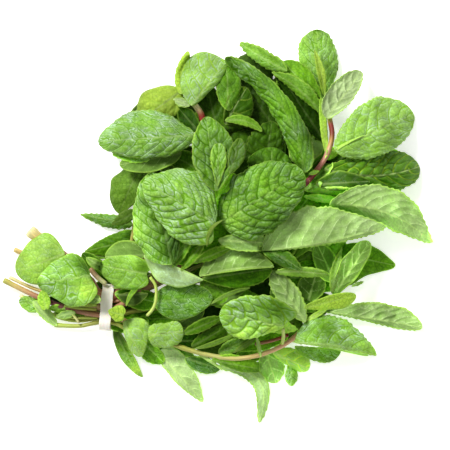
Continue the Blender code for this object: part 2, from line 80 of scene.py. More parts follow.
# %% [markdown]
# ## Camera
# The bunch lies down and is seen from straight above, from far off through a long lens, so
# that tall and low leaves keep nearly the same scale.  The view is 270 mm wide at a height
# of 15 mm, the middle of the heap.

# %% Camera
VIEW_WIDTH = 270 * MM
VIEW_HEIGHT = 15 * MM
CAMERA_DISTANCE = 1.6
SENSOR = 36.0

camera_data = bpy.data.cameras.new("camera")
camera_data.sensor_width = SENSOR
camera_data.lens = SENSOR * CAMERA_DISTANCE / VIEW_WIDTH
camera = bpy.data.objects.new("camera", camera_data)
camera.location = (PLAN_SHIFT[0] * MM, PLAN_SHIFT[1] * MM, VIEW_HEIGHT + CAMERA_DISTANCE)
bpy.context.scene.collection.objects.link(camera)
bpy.context.scene.camera = camera
print("lens:", round(camera_data.lens), "mm")

# %% [markdown]
# ## Light
# One soft window light comes from the upper left, and the room around it is bright.  The
# window is small enough to let each leaf throw a soft shadow on the next, and its slant
# brings out the quilting of the blades.  The plain display curve with some contrast keeps
# the greens strong and the gaps between the leaves dark.

# %% Light
bpy.context.scene.view_settings.view_transform = "Standard"
bpy.context.scene.view_settings.look = "Medium High Contrast"
room = bpy.data.worlds.new("room")
bpy.context.scene.world = room
room.use_nodes = True
room.node_tree.nodes["Background"].inputs["Color"].default_value = (0.96, 0.98, 0.93, 1)
room.node_tree.nodes["Background"].inputs["Strength"].default_value = 0.48


def soft_light(name, place, size, power):
    """A square area light at a place in metres, turned to face the bunch."""
    light = bpy.data.lights.new(name, "AREA")
    light.size = size
    light.energy = power
    lamp = bpy.data.objects.new(name, light)
    lamp.location = place
    aim = -np.array(place)
    lamp.rotation_euler = (math.atan2(math.hypot(aim[0], aim[1]), -aim[2]), 0,
                           math.atan2(-aim[0], aim[1]))
    bpy.context.scene.collection.objects.link(lamp)


soft_light("window", (-0.7, 0.8, 1.05), 0.4, 20)

# %% [markdown]
# ## Shader words
# A leaf's finish is a few dozen nodes.  Written one by one they hide the idea, so a small
# class gives them short words: a product, a smooth step, a blend of two colours.

# %% Shader words
class Finish:
    """A node material with short words for its nodes; every word returns an output socket."""

    def __init__(self, name):
        self.material = bpy.data.materials.new(name)
        self.material.use_nodes = True
        self.tree = self.material.node_tree
        self.surface = self.tree.nodes["Principled BSDF"]
        self.output = self.tree.nodes["Material Output"]

    def node(self, kind, links=(), **settings):
        """A node with its first sockets set in order; None leaves a socket as it is."""
        made = self.tree.nodes.new("ShaderNode" + kind)
        for key, value in settings.items():
            setattr(made, key, value)
        self.join(zip(made.inputs, links))
        return made

    def join(self, pairs):
        """Link or set each socket of the pairs."""
        for socket, value in pairs:
            if isinstance(value, bpy.types.NodeSocket):
                self.tree.links.new(value, socket)
            elif value is not None:
                socket.default_value = value

    def put(self, values):
        """Link or set the named sockets of the surface."""
        self.join([(self.surface.inputs[name], value) for name, value in values.items()])

    def math(self, operation, a, b=None, c=None):
        """One step of arithmetic."""
        return self.node("Math", (a, b, c), operation=operation).outputs[0]

    def times(self, a, b):
        """a times b."""
        return self.math("MULTIPLY", a, b)

    def line(self, a, slope, start):
        """a times slope plus start."""
        return self.math("MULTIPLY_ADD", a, slope, start)

    def step(self, value, start, end):
        """0 below start, 1 above end and smooth between; start above end turns it round."""
        return self.node("MapRange", (value, start, end, 0.0, 1.0),
                         interpolation_type="SMOOTHSTEP").outputs[0]

    def blend(self, amount, first, second, kind="MIX"):
        """A colour between first and second, or both combined in the way of kind."""
        mixer = self.node("Mix", data_type="RGBA", blend_type=kind)
        self.join([(mixer.inputs[0], amount), (mixer.inputs[6], first), (mixer.inputs[7], second)])
        return mixer.outputs[2]

    def tinted(self, colour, tint):
        """A colour times a tint."""
        return self.blend(1.0, colour, (*tint, 1), "MULTIPLY")

    def attribute(self, name):
        """The outputs of a named attribute of the mesh: Color, Vector, Fac and Alpha."""
        return self.node("Attribute", attribute_name=name).outputs

    def parts(self, vector):
        """The three numbers of a vector or colour."""
        return self.node("SeparateXYZ", (vector,)).outputs

    def coordinates(self, uv):
        """The vector of a named UV map."""
        return self.node("UVMap", uv_map=uv).outputs[0]

    def noise(self, vector, scale, detail=2.0):
        """Smooth noise between 0 and 1."""
        return self.node("TexNoise", (vector, None, scale, detail)).outputs["Fac"]

    def streaks(self, vector, along, across, detail):
        """Noise drawn out along the first direction of a UV map."""
        scaled = self.node("Mapping", (vector, None, None, (along, across, 1.0))).outputs[0]
        return self.noise(scaled, 1.0, detail)

    def cell_edges(self, vector, scale):
        """The distance to the nearest edge of a pattern of cells."""
        return self.node("TexVoronoi", (vector, None, scale), feature="DISTANCE_TO_EDGE",
                         voronoi_dimensions="2D").outputs["Distance"]

    def bump(self, strength, distance, height):
        """A surface normal that pretends a height in metres."""
        rise = self.node("Bump", (strength,))
        self.join([(rise.inputs["Distance"], distance), (rise.inputs["Height"], height)])
        return rise.outputs[0]


# %% [markdown]
# ## Leaf finish
# A mint blade has a net of veins: a midrib, side veins that curve towards the margin, short
# cross veins between those, and a fine mesh in each pocket.  A picture of a leaf could carry
# all this, but a formula does it at any size: the mesh carries the distances to the nearest
# side vein, pocket border, midrib and margin, and the finish draws a line where a distance
# is small.  The fine mesh is the edge of a cell pattern in millimetres of leaf.
#
# How yellow a blade is, how light (its own tone together with painted light and shade), and
# how much painted sheen it carries comes from the mesh too, in an attribute called tone, so
# that one finish serves every leaf and no two leaves look alike.  Its fourth number tells
# whether the veins are dark grooves or pale ridges.

# %% Leaf finish
TOP_COLOURS = [(0.00, (0.010, 0.045, 0.001)), (0.25, (0.070, 0.210, 0.004)),
               (0.50, (0.215, 0.470, 0.020)), (0.75, (0.410, 0.700, 0.100)),
               (1.00, (0.600, 0.840, 0.110))]
UNDER_COLOURS = [(0.00, (0.060, 0.160, 0.004)), (0.50, (0.275, 0.445, 0.105)),
                 (1.00, (0.600, 0.720, 0.420))]
# The pale colour of the painted sheen and the painted highlights on the pockets.
SHEEN_COLOUR = (0.60, 0.79, 0.58, 1)
# The tint of the dark vein lines: partly the veins' own green, partly painted shade in the grooves.
GROOVE_SHADE = (0.20, 0.40, 0.06)
MIDRIB = (0.60, 0.78, 0.30, 1)
RIM = (0.50, 0.76, 0.12, 1)
RIDGE_TOP = (0.36, 0.46, 0.06, 1)
RIDGE_UNDER = (0.18, 0.19, 0.13, 1)
GLOW = (1.3, 1.2, 0.3)
SEE_THROUGH = 0.20


def colour_ramp(finish, value, stops):
    """A colour read from stops of (position, colour)."""
    ramp = finish.node("ValToRGB", (value,))
    for i, (position, colour) in enumerate(stops):
        stop = ramp.color_ramp.elements[i] if i < 2 else ramp.color_ramp.elements.new(position)
        stop.position = position
        stop.color = (*colour, 1)
    return ramp.outputs[0]


def leaf_finish(name, stops, top, roughness, bump, shine):
    """One side of a blade.

    Base colour: the tone's yellowness through the stops, mottled, with painted sheen in the
    pockets and a painted highlight along their borders where the leaf carries sheen; then the
    veins, dark grooves (a darker green, partly painted shade in the grooves) or pale ridges;
    then a bright rim and a pale midrib; all times the tone's lightness, which carries painted
    light and shade, and two noises, one fine and one wide.  A fifth of the light shines
    through the blade.
    """
    finish = Finish(name)
    place = finish.coordinates("blade")
    net, side, rib = finish.parts(finish.attribute("net")["Vector"])
    rim = finish.attribute("net")["Alpha"]
    yellow, light, frost = finish.parts(finish.attribute("tone")["Vector"])
    pale = finish.attribute("tone")["Alpha"]
    grain = finish.noise(place, 0.9, 3.0)
    mottle = finish.math("SUBTRACT", finish.noise(place, 0.20, 3.0), 0.5)
    pocket = finish.step(net, 0.1, 0.9)
    yellow = finish.line(pocket, 0.10 if top else -0.06, finish.line(mottle, 0.30, yellow))
    colour = colour_ramp(finish, yellow, stops)
    # Painted highlight: a pale ring along the border of each pocket; painted sheen: a pale patchy cast over
    # the pockets.
    highlight_ring = finish.times(finish.step(net, 0.5, 0.8), finish.step(net, 1.7, 1.0))
    patchy = finish.line(finish.step(finish.noise(place, 0.16, 3.0), 0.35, 0.65), 0.8, 0.2)
    frosty = finish.times(finish.line(highlight_ring, 0.75, finish.times(pocket, 0.3)), patchy)
    colour = finish.blend(finish.times(frosty, frost), colour, SHEEN_COLOUR)
    mesh = finish.times(finish.step(finish.cell_edges(place, 0.42), 0.24, 0.04), 0.35)
    if top:
        side = finish.math("DIVIDE", side, finish.line(pale, 0.5, 1.0))
    rungs = finish.times(finish.step(net, 0.36, 0.08), 0.7)
    vein = finish.math("MAXIMUM", finish.step(side, 0.55, 0.15), rungs)
    # Dark lines along the veins and the fine net: partly the veins' own darker green, partly painted shade in
    # the grooves.
    groove = finish.math("MAXIMUM", vein, mesh)
    groove_shaded = finish.blend(groove, colour, finish.tinted(colour, GROOVE_SHADE))
    ridged = finish.blend(vein, colour, finish.blend(1.0, colour, RIDGE_TOP if top else RIDGE_UNDER, "ADD"))
    colour = finish.blend(pale, groove_shaded, ridged)
    colour = finish.blend(finish.times(finish.step(rim, 1.1, 0.2), 0.55), colour, RIM)
    midrib = finish.times(finish.step(rib, 0.75, 0.2), finish.line(pale, 0.65 if top else 0.3, 0.12))
    colour = finish.blend(midrib, colour, MIDRIB)
    light = finish.times(light, finish.line(grain, 0.6, 0.7))
    light = finish.times(light, finish.line(finish.noise(place, 0.07, 2.0), 1.1, 0.45))
    lit = finish.node("VectorMath", (colour,), operation="SCALE")
    finish.join([(lit.inputs["Scale"], light)])
    colour = lit.outputs[0]
    dents = finish.step(finish.cell_edges(place, 1.15), 0.14, 0.02)
    finish.put({"Base Color": colour, "Roughness": finish.line(grain, 0.16, roughness),
                "Normal": finish.bump(bump, 0.00025, finish.line(dents, -0.3, finish.times(grain, 0.7))),
                "Specular IOR Level": shine})
    through = finish.node("BsdfTranslucent", (finish.tinted(colour, GLOW),))
    both = finish.node("MixShader", (SEE_THROUGH, finish.surface.outputs[0], through.outputs[0]))
    finish.join([(finish.output.inputs["Surface"], both.outputs[0])])
    return finish.material


leaf_top = leaf_finish("leaf_top", TOP_COLOURS, True, 0.34, 0.8, 0.15)
leaf_under = leaf_finish("leaf_under", UNDER_COLOURS, False, 0.55, 0.5, 0.08)
print("leaf finishes:", leaf_top.name, leaf_under.name)

# %% [markdown]
# ## The blade as a surface
# A blade is a function of two parameters: the station along the midrib and the place across
# it.  A lofted plane with hand-pulled edges would do for one leaf.  Two hundred leaves want a
# formula with a few numbers each: where the foot and tip lie, how far the midrib bows, three
# half widths for either side, how high it lies in the heap, and how it looks.

# %% One leaf's numbers
USUAL_SHEEN, USUAL_QUILT, USUAL_TEETH = 0, 0.4, 0.3


class Leaf:
    """One leaf's numbers: lengths in plan millimetres, and how it looks.

    Right may be None where both sides are as wide.  A look is how yellow the leaf is, how
    light (its own tone together with painted light and shade), how much painted sheen it
    carries, how deeply it is quilted and how long its teeth are; the last three may be left
    out.
    """

    def __init__(self, name, foot, tip, left, right, level, look,
                 bow=0, lobes=(0, 0), rise=(0, 0, 0), sides=(0, 0), under=False):
        self.name, self.foot, self.tip, self.bow = name, foot, tip, bow
        self.left, self.right, self.lobes = left, right or left, lobes
        self.level, self.rise, self.sides, self.under = level, rise, sides, under
        full_look = (*look, *(USUAL_SHEEN, USUAL_QUILT, USUAL_TEETH)[len(look) - 2:])
        self.yellow, self.light, self.frost, self.quilt, self.teeth = full_look


# %% [markdown]
# ## The mound and the outline
# The bunch is a heap, highest in the middle, so a leaf's level is a share of the heap's
# height where it lies.  Its outline is an ellipse with three widths to each side, and its
# margin has forward-pointing teeth.

# %% The mound and the outline
MOUND_CENTRE = (8.0, 10.0)
MOUND_RADII = (114.0, 118.0)
MOUND_SKIRT, MOUND_RISE, MOUND_FULLNESS = 6.0, 44.0, 0.75
SIDE_BEND = 1.6
LOBE_STATION = 0.05
TOOTH_SPACING, TOOTH_SIZE, TOOTH_PEAK = 3.4, 1.6, 0.72


def ripple(x, y, size, seed):
    """Smooth noise between -1 and 1: three sine waves of about the given size, turned by the seed."""
    turns = seed * 2.399 + np.array([0.3, 2.4, 4.4])
    waves = [np.sin(2 * np.pi * (x * np.cos(a) + y * np.sin(a)) / (size * stretch) + 7 * a)
             for a, stretch in zip(turns, (1.0, 0.73, 1.31))]
    return sum(waves) / 3


def mound(x, y):
    """Height of the heap over the plan: a skirt plus a flattened dome."""
    inside = 1 - ((x - MOUND_CENTRE[0]) / MOUND_RADII[0]) ** 2 - ((y - MOUND_CENTRE[1]) / MOUND_RADII[1]) ** 2
    return MOUND_SKIRT + MOUND_RISE * np.clip(inside, 0, 1) ** MOUND_FULLNESS


def three_point(values, t):
    """The parabola through three values given at t = 0, 1/2 and 1."""
    first, middle, last = values
    return first * (1 - t) * (1 - 2 * t) + middle * 4 * t * (1 - t) + last * t * (2 * t - 1)


print("height of the mound:", mound(*MOUND_CENTRE), "mm")

# %% [markdown]
# ## The middle surface
# One function turns a leaf's numbers into its middle surface.  It also hands on the place of
# each point in the leaf, because the veins and the colours are laid out along and across it.

# %% The middle surface
def blade(leaf, rows, columns):
    """A blade's middle surface and the numbers that its veins and colours need.

    The midrib is a bowed line from foot to tip.  Half the width is an ellipse times a
    parabola, with forward-pointing teeth at the margin, and a lobe may reach back at the foot.
    The height is the leaf's level in the mound, plus its rise along the midrib, plus the rise
    of its sides.
    """
    foot, chord = leaf.foot, np.subtract(leaf.tip, leaf.foot)
    length = np.hypot(*chord)
    along = chord / length
    normal = np.array([-along[1], along[0]])
    u = np.linspace(0, 1, rows)[:, None]
    v = np.linspace(-1, 1, columns)[None, :]
    t = (1 - np.cos(np.pi * u)) / 2
    swell = np.sin(np.pi * u)
    is_left = v > 0
    bend = 4 * leaf.bow * t * (1 - t)
    turn = 4 * leaf.bow * (1 - 2 * t)
    forward = chord[:, None, None] + normal[:, None, None] * turn
    forward = forward / np.hypot(*forward)
    half = swell * np.where(is_left, three_point(leaf.left, t), three_point(leaf.right, t))
    uneven = ripple(t * length, np.where(is_left, 31.0, 0.0), 15, foot[0] + leaf.tip[1])
    half = np.maximum(half * (1 + 0.06 * uneven), 0.08)
    notch = t * length / TOOTH_SPACING + 0.35 * uneven + np.where(is_left, 0.3, 0.0)
    notch = notch - np.floor(notch)
    saw = np.where(notch < TOOTH_PEAK, notch / TOOTH_PEAK, (1 - notch) / (1 - TOOTH_PEAK)) - 0.55
    saw = saw * (1 + 0.5 * ripple(t * length, 0 * v, 7, foot[0]))
    teeth = TOOTH_SIZE * leaf.teeth * saw * np.abs(v) ** 9 * np.minimum(1, 3 * swell)
    reach = half * np.abs(v) + teeth
    ratio = t / LOBE_STATION
    back = np.where(is_left, *leaf.lobes) * ratio * np.exp(1 - ratio) * v ** 2
    x = foot[0] + chord[0] * t + normal[0] * bend - forward[1] * np.sign(v) * reach - back * along[0]
    y = foot[1] + chord[1] * t + normal[1] * bend + forward[0] * np.sign(v) * reach - back * along[1]
    side = np.where(is_left, *leaf.sides) * np.abs(v) ** SIDE_BEND * swell
    z = leaf.level * mound(x, y) + three_point(leaf.rise, t) + side
    return {"x": x, "y": y, "z": z, "u": u + 0 * v, "t": t + 0 * v, "v": v + 0 * u,
            "half": half, "length": length, "swell": swell + 0 * v}


# %% [markdown]
# ## Veins
# The net of veins is worked out once for each blade, as distances: to the nearest side vein,
# to the nearest border of a pocket, to the midrib and to the margin.  The relief and the
# finish both read these distances, so the bulges and the drawn veins cannot drift apart.

# %% The vein net
VEIN_SPACING, FEWEST_VEINS, MOST_VEINS = 7.4, 3, 9
VEIN_SWEEP = 0.3
VEIN_SLANT = 0.8
RUNG_SPACING = 0.6


def veins(shape, seed, sweep):
    """Distances in millimetres to a side vein, to a pocket's border, to the midrib, to the margin.

    A side vein leaves the midrib and sweeps towards the tip the further out it runs, less so
    where the blade is narrow.  A finer vein runs half-way between two side veins, and rungs
    cross each strip like those of a ladder, out of step with the next strip's.  Both fade out
    in places, so that two pockets run together.
    """
    t, v, half = shape["t"], shape["v"], shape["half"]
    x, y = t * shape["length"], v * half
    pairs = np.clip(np.round(shape["length"] / VEIN_SPACING), FEWEST_VEINS, MOST_VEINS)
    pitch = shape["length"] / pairs
    along = pairs * (t - sweep * np.sqrt(half / half.max()) * np.abs(v) ** 1.5)
    along = along + np.where(v > 0, 0.35, 0.0) + 0.2 * ripple(x, y, 19, seed)
    side = np.abs(along - np.round(along)) * pitch * VEIN_SLANT
    strip = np.floor(along)
    shifts = np.random.default_rng(seed).uniform(0, 1, 64)
    shift = shifts[(strip + np.where(v > 0, 32, 0)).astype(int) % 64]
    spacing = RUNG_SPACING * pitch
    rung = y / spacing + shift + 0.35 * ripple(x, y, 9, seed + 5) + 0.3 * (along - strip)
    across = np.abs(rung - np.round(rung)) * spacing + 0.5 * np.maximum(0, ripple(x, y, 13, seed + 7))
    between = np.abs(along - strip - 0.5) * pitch * VEIN_SLANT + 0.3 + 1.1 * (1 + ripple(x, y, 15, seed + 3))
    reach = half * np.abs(v)
    return {"side": side, "net": np.minimum(side, np.minimum(across, between)),
            "rib": reach / (1.7 - 1.3 * t), "rim": half - reach}


print("side veins to each side of a 50 mm leaf:", round(50 / VEIN_SPACING))

# %% [markdown]
# ## Quilting
# Mint blades are quilted: the tissue grows faster than the veins, so it bulges upwards in
# every pocket of the net.  A bump in the finish would not show at the outline or in the
# exported shape, so the bulges are in the mesh.

# %% The relief
BULGE_HEIGHT = 2.2
NET_SHARE, NET_REACH, SIDE_REACH = 0.6, 0.8, 2.2
GROOVE_DEPTH, QUILTED_GROOVE, GROOVE_REACH = 0.3, 0.35, 0.9
ROLL_START, ROLL_DROP = 0.82, 0.7
WIDE_WAVE, EDGE_WAVE = 0.7, 1.1
FULL_RELIEF_WIDTH = 9


def relief(shape, net, quilt, seed):
    """How far the blade stands out of its middle surface, in millimetres, towards its top side.

    Bulges fill the pockets of the vein net, a groove follows the midrib, the margin rolls
    down, and the whole blade waves a little.  All fade at the ends and on narrow blades.
    """
    away = np.abs(shape["v"])
    x, y = shape["t"] * shape["length"], shape["v"] * shape["half"]
    small = 1 - np.exp(-(net["net"] / NET_REACH) ** 2)
    large = 1 - np.exp(-(net["side"] / SIDE_REACH) ** 2)
    bulge = BULGE_HEIGHT * quilt * (NET_SHARE * small + (1 - NET_SHARE) * large) * (1 - away ** 8)
    groove = np.exp(-(net["rib"] / GROOVE_REACH) ** 2) * (1.1 - shape["t"])
    roll = ROLL_DROP * np.clip((away - ROLL_START) / (1 - ROLL_START), 0, 1) ** 2
    wave = WIDE_WAVE * ripple(x, y, 24, seed + 9) + EDGE_WAVE * ripple(x, 0.3 * y, 13, seed + 2) * away ** 3
    height = bulge - (GROOVE_DEPTH + QUILTED_GROOVE * quilt) * groove - roll + wave
    return shape["swell"] * np.minimum(1, shape["half"] / FULL_RELIEF_WIDTH) * height


print("deepest quilting:", BULGE_HEIGHT, "mm for each unit of quilt")

# %% [markdown]
# ## A closed blade
# A sheet with no thickness has no inside, and light and export both want one.  The Solidify
# modifier could add it, but then the underside could not have its own relief or finish.  So
# the sheet is doubled by hand: one grid up along the normals, one down, and a rim between.

# %% Grids
def normals(points):
    """Unit normals of a grid of points, from the differences along its two directions."""
    across = np.cross(np.gradient(points, axis=0), np.gradient(points, axis=1))
    return across / np.maximum(np.linalg.norm(across, axis=-1, keepdims=True), 1e-9)


def grid_faces(rows, columns, start=0):
    """The four corners of every face of a grid, wound so that they face along the normals."""
    first = start + np.arange(rows - 1)[:, None] * columns + np.arange(columns - 1)[None, :]
    return np.stack([first, first + columns, first + columns + 1, first + 1], axis=-1).reshape(-1, 4)


def rim_faces(rows, columns):
    """The strip that joins the border of the upper grid to the border of the lower one."""
    grid = np.arange(rows * columns).reshape(rows, columns)
    border = np.concatenate([grid[:, 0], grid[-1, 1:], grid[-2::-1, -1], grid[0, -2:0:-1]])
    following = np.roll(border, -1)
    below = rows * columns
    return np.stack([border, border + below, following + below, following], axis=-1)


print("faces of a small closed blade:", 2 * len(grid_faces(28, 11)) + len(rim_faces(28, 11)))

# %% [markdown]
# ## What a mesh carries
# Every piece is made from plain lists of points and faces, and rides on the one body of the
# part.  A finish reads two kinds of things from the mesh: UV maps, here plain millimetres
# along and across the piece, and attributes, numbers kept with each point.

# %% Meshes
BLADE_THICKNESS = 0.32
NOISE_STRIDE = 83


def new_mesh(name, points, faces, finishes, sides=None):
    """A smooth mesh piece from points in metres, corner indices, and a finish for each face."""
    mesh = bpy.data.meshes.new(name)
    mesh.from_pydata(points.reshape(-1, 3), [], faces)
    for finish in finishes:
        mesh.materials.append(finish)
    if sides is not None:
        mesh.polygons.foreach_set("material_index", sides)
    mesh.shade_smooth()
    piece = bpy.data.objects.new(name, mesh)
    bpy.context.scene.collection.objects.link(piece)
    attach(piece, BODY)
    return piece


def add_uv(mesh, name, first, second):
    """A UV map from two numbers for each vertex."""
    corners = np.empty(len(mesh.loops), np.int32)
    mesh.loops.foreach_get("vertex_index", corners)
    pairs = np.stack([first.ravel(), second.ravel()], axis=-1)[corners]
    mesh.uv_layers.new(name=name).data.foreach_set("uv", pairs.astype(np.float32).ravel())


def add_colour(mesh, name, *channels):
    """A colour attribute from one array of numbers for each of red, green, blue and alpha."""
    rgba = np.stack([channel.ravel() for channel in channels], axis=-1).astype(np.float32)
    mesh.attributes.new(name, "FLOAT_COLOR", "POINT").data.foreach_set("color", rgba.ravel())


def twice(values):
    """The same numbers for the upper and the lower grid."""
    return np.concatenate([values, values])


def close_blade(name, points, shape, net, tone, top_is_up, seed):
    """The closed mesh of one blade, from its middle surface as points in metres."""
    rows, columns = points.shape[:2]
    out = normals(points) * BLADE_THICKNESS / 2 * MM
    upper = grid_faces(rows, columns)
    lower = grid_faces(rows, columns, rows * columns)[:, ::-1]
    rim = rim_faces(rows, columns)
    facing = [0] * len(upper) + [1] * len(lower) + [0] * len(rim)
    finishes = [leaf_top, leaf_under] if top_is_up else [leaf_under, leaf_top]
    piece = new_mesh(name, np.concatenate([points + out, points - out]),
                     np.concatenate([upper, lower, rim]), finishes, facing)
    own_place = shape["t"] * shape["length"] + NOISE_STRIDE * seed
    add_uv(piece.data, "blade", twice(own_place), twice(shape["v"] * shape["half"]))
    add_colour(piece.data, "net", *[twice(net[key]) for key in ("net", "side", "rib", "rim")])
    add_colour(piece.data, "tone", *[twice(tone[..., k]) for k in range(4)])
    return piece


# %% [markdown]
# ## Room for the small leaves
# The small leaves have no node to follow.  Two height fields tell where there is room for
# one: how high everything below it reaches, and how low everything above it hangs.

# %% Height fields
FIELD_HALF = 140
GAP = 0.5
FIRST_PASSES, LAST_PASSES = 8, 3
ABOVE_TABLE = 0.6


def field(value):
    """A field with the same height everywhere, one millimetre to a cell."""
    return np.full((2 * FIELD_HALF, 2 * FIELD_HALF), float(value))


def cells(x, y):
    """Row and column of the field for plan points."""
    column = np.clip((x + FIELD_HALF).astype(int), 1, 2 * FIELD_HALF - 2)
    row = np.clip((y + FIELD_HALF).astype(int), 1, 2 * FIELD_HALF - 2)
    return row, column


def finer(values):
    """A grid with the middles of its faces and edges put in."""
    wide = np.empty((values.shape[0] * 2 - 1, values.shape[1]))
    wide[::2], wide[1::2] = values, (values[:-1] + values[1:]) / 2
    full = np.empty((wide.shape[0], values.shape[1] * 2 - 1))
    full[:, ::2], full[:, 1::2] = wide, (wide[:, :-1] + wide[:, 1:]) / 2
    return full


def stamp(heights, combine, x, y, z):
    """Record heights in a field, keeping the highest or the lowest of each cell."""
    combine.at(heights, cells(finer(x), finer(y)), finer(z))


def relax(values, passes):
    """A grid smoothed by averaging each point with its four neighbours."""
    for _ in range(passes):
        wide = np.pad(values, 1, mode="edge")
        values = (2 * values + wide[:-2, 1:-1] + wide[2:, 1:-1] + wide[1:-1, :-2] + wide[1:-1, 2:]) / 6
    return values


def fit_between(shape, floor, ceiling, gap=GAP):
    """Heights raised above the floor field, then kept under the ceiling field, and smoothed."""
    place = cells(shape["x"], shape["y"])
    lowest, highest = floor[place] + gap, ceiling[place] - gap
    z = relax(np.minimum(np.maximum(shape["z"], lowest), highest), FIRST_PASSES)
    z = relax(np.minimum(z, highest), LAST_PASSES)
    return np.maximum(np.minimum(z, highest + gap / 2), ABOVE_TABLE)


print("cells in a height field:", field(0).size)

# %% [markdown]
# ## Stem finish
# A mint stem is four-sided with rounded corners, fine lines run along it, and it changes from
# olive through brown-pink to purple along its length.  The colour is painted on the mesh as
# an attribute from a few stops along the path, and the finish adds the fine lines.

# %% Stem finish
def stem_finish():
    """The attribute's colour, streaked along the stem and spotted darker, with a soft gloss."""
    finish = Finish("stem_skin")
    place = finish.coordinates("run")
    skin = finish.attribute("skin")["Color"]
    streaks = finish.streaks(place, 0.16, 2.2, 3.0)
    spots = finish.noise(place, 0.9, 3.0)
    colour = finish.blend(finish.step(streaks, 0.45, 0.75), skin, finish.tinted(skin, (1.5, 1.35, 1.2)))
    spotted = finish.times(finish.step(spots, 0.5, 0.8), 0.35)
    finish.put({"Base Color": finish.blend(spotted, colour, finish.tinted(skin, (0.55, 0.6, 0.6))),
                "Roughness": finish.line(spots, 0.2, 0.34), "Normal": finish.bump(0.6, 0.0002, streaks),
                "Specular IOR Level": 0.5, "Subsurface Weight": 0.15,
                "Subsurface Radius": (0.6, 0.8, 0.3), "Subsurface Scale": 0.001})
    return finish.material


stem_skin = stem_finish()
print("stem finish:", stem_skin.name)

# %% [markdown]
# ## Stems
# A stem is a ring carried along a smooth path.  A curve with a bevel would make the same
# tube, but it could not be four-sided, swell at its joints or carry its colours.

# %% The tube
TUBE_SIDES = 16
SIDE_WIDTH = 0.7
TUBE_STEP = 1.6
JOINT_SPACING, JOINT_SWELL, JOINT_LENGTH = 23.0, 0.14, 2.0
SQUARENESS = 0.07
END_RINGS = np.array([0.02, 0.6, 0.93])


def smooth_path(points):
    """Points at even steps along the smooth curve through the listed points.

    Between two points the curve is the cubic whose slope at each is half the way from its
    neighbour before to its neighbour after.
    """
    knots = np.array(points, float)
    padded = np.vstack([2 * knots[0] - knots[1], knots, 2 * knots[-1] - knots[-2]])
    t = np.linspace(0, 1, 16, endpoint=False)[None, :, None]
    a, b, c, d = (padded[i:len(padded) - 3 + i, None, :] for i in range(4))
    square, cube = 2 * a - 5 * b + 4 * c - d, 3 * b - a - 3 * c + d
    dense = 0.5 * (2 * b + (c - a) * t + square * t ** 2 + cube * t ** 3)
    dense = np.vstack([dense.reshape(-1, 3), knots[-1]])
    reach = np.concatenate([[0], np.cumsum(np.linalg.norm(np.diff(dense, axis=0), axis=1))])
    even = np.linspace(0, reach[-1], max(4, int(reach[-1] / TUBE_STEP)) + 1)
    return np.stack([np.interp(even, reach, dense[:, i]) for i in range(3)], axis=-1), even


def unit(vectors):
    """Vectors of length 1."""
    return vectors / np.linalg.norm(vectors, axis=1, keepdims=True)


def tube(name, points, first, last, colours, joints):
    """A closed tapering tube along the listed plan points, with its colours along the way.

    The ring is a circle pushed out at four corners.  The radius runs from first to last,
    swells at the joints, and the two ends close over three shrinking rings.
    """
    path, reach = smooth_path(points)
    share = reach / reach[-1]
    radius = first + (last - first) * share
    if joints:
        nearest = np.abs((reach / JOINT_SPACING + 0.4) % 1 - 0.5) * JOINT_SPACING
        radius = radius * (1 + JOINT_SWELL * np.exp(-(nearest / JOINT_LENGTH) ** 2))
    order = np.concatenate([[0, 0, 0], np.arange(len(path)), [len(path) - 1] * 3])
    shrink = np.concatenate([END_RINGS, np.ones(len(path)), END_RINGS[::-1]])
    ahead = unit(np.gradient(path, axis=0)[order])
    path, radius, share = path[order], radius[order] * shrink, share[order]
    side = unit(np.cross(ahead, (0, 0, 1.0)))
    up = np.cross(side, ahead)
    angle = np.linspace(0, 2 * np.pi, TUBE_SIDES, endpoint=False)
    ring = (1 + SQUARENESS * np.cos(4 * angle))[None, :, None] * radius[:, None, None]
    rings = path[:, None] + ring * (np.cos(angle)[None, :, None] * side[:, None]
                                    + np.sin(angle)[None, :, None] * up[:, None])
    rows = len(rings)
    around = np.arange(TUBE_SIDES)
    start = np.arange(rows - 1)[:, None] * TUBE_SIDES
    here, there = start + around, start + (around + 1) % TUBE_SIDES
    faces = np.stack([here, there, there + TUBE_SIDES, here + TUBE_SIDES], axis=-1).reshape(-1, 4)
    caps = [list(around[::-1]), list((rows - 1) * TUBE_SIDES + around)]
    piece = new_mesh(name, to_part(*np.moveaxis(rings, -1, 0)), faces.tolist() + caps, [stem_skin])
    stops, tints = zip(*colours)
    skin = [np.repeat(np.interp(share, stops, channel), TUBE_SIDES) for channel in zip(*tints)]
    add_colour(piece.data, "skin", *skin, np.ones(rows * TUBE_SIDES))
    add_uv(piece.data, "run", np.repeat(share * reach[-1], TUBE_SIDES), np.tile(around * SIDE_WIDTH, rows))
    return piece, path, radius[:, None]


# %% [markdown]
# ## The stems of the bunch
# The points of each stem are those of its node, so the tube lies where the node lies.  A
# stalk that was lifted onto a leaf takes its height from its node's box.  The last rows are
# short stems and stalks without a node.

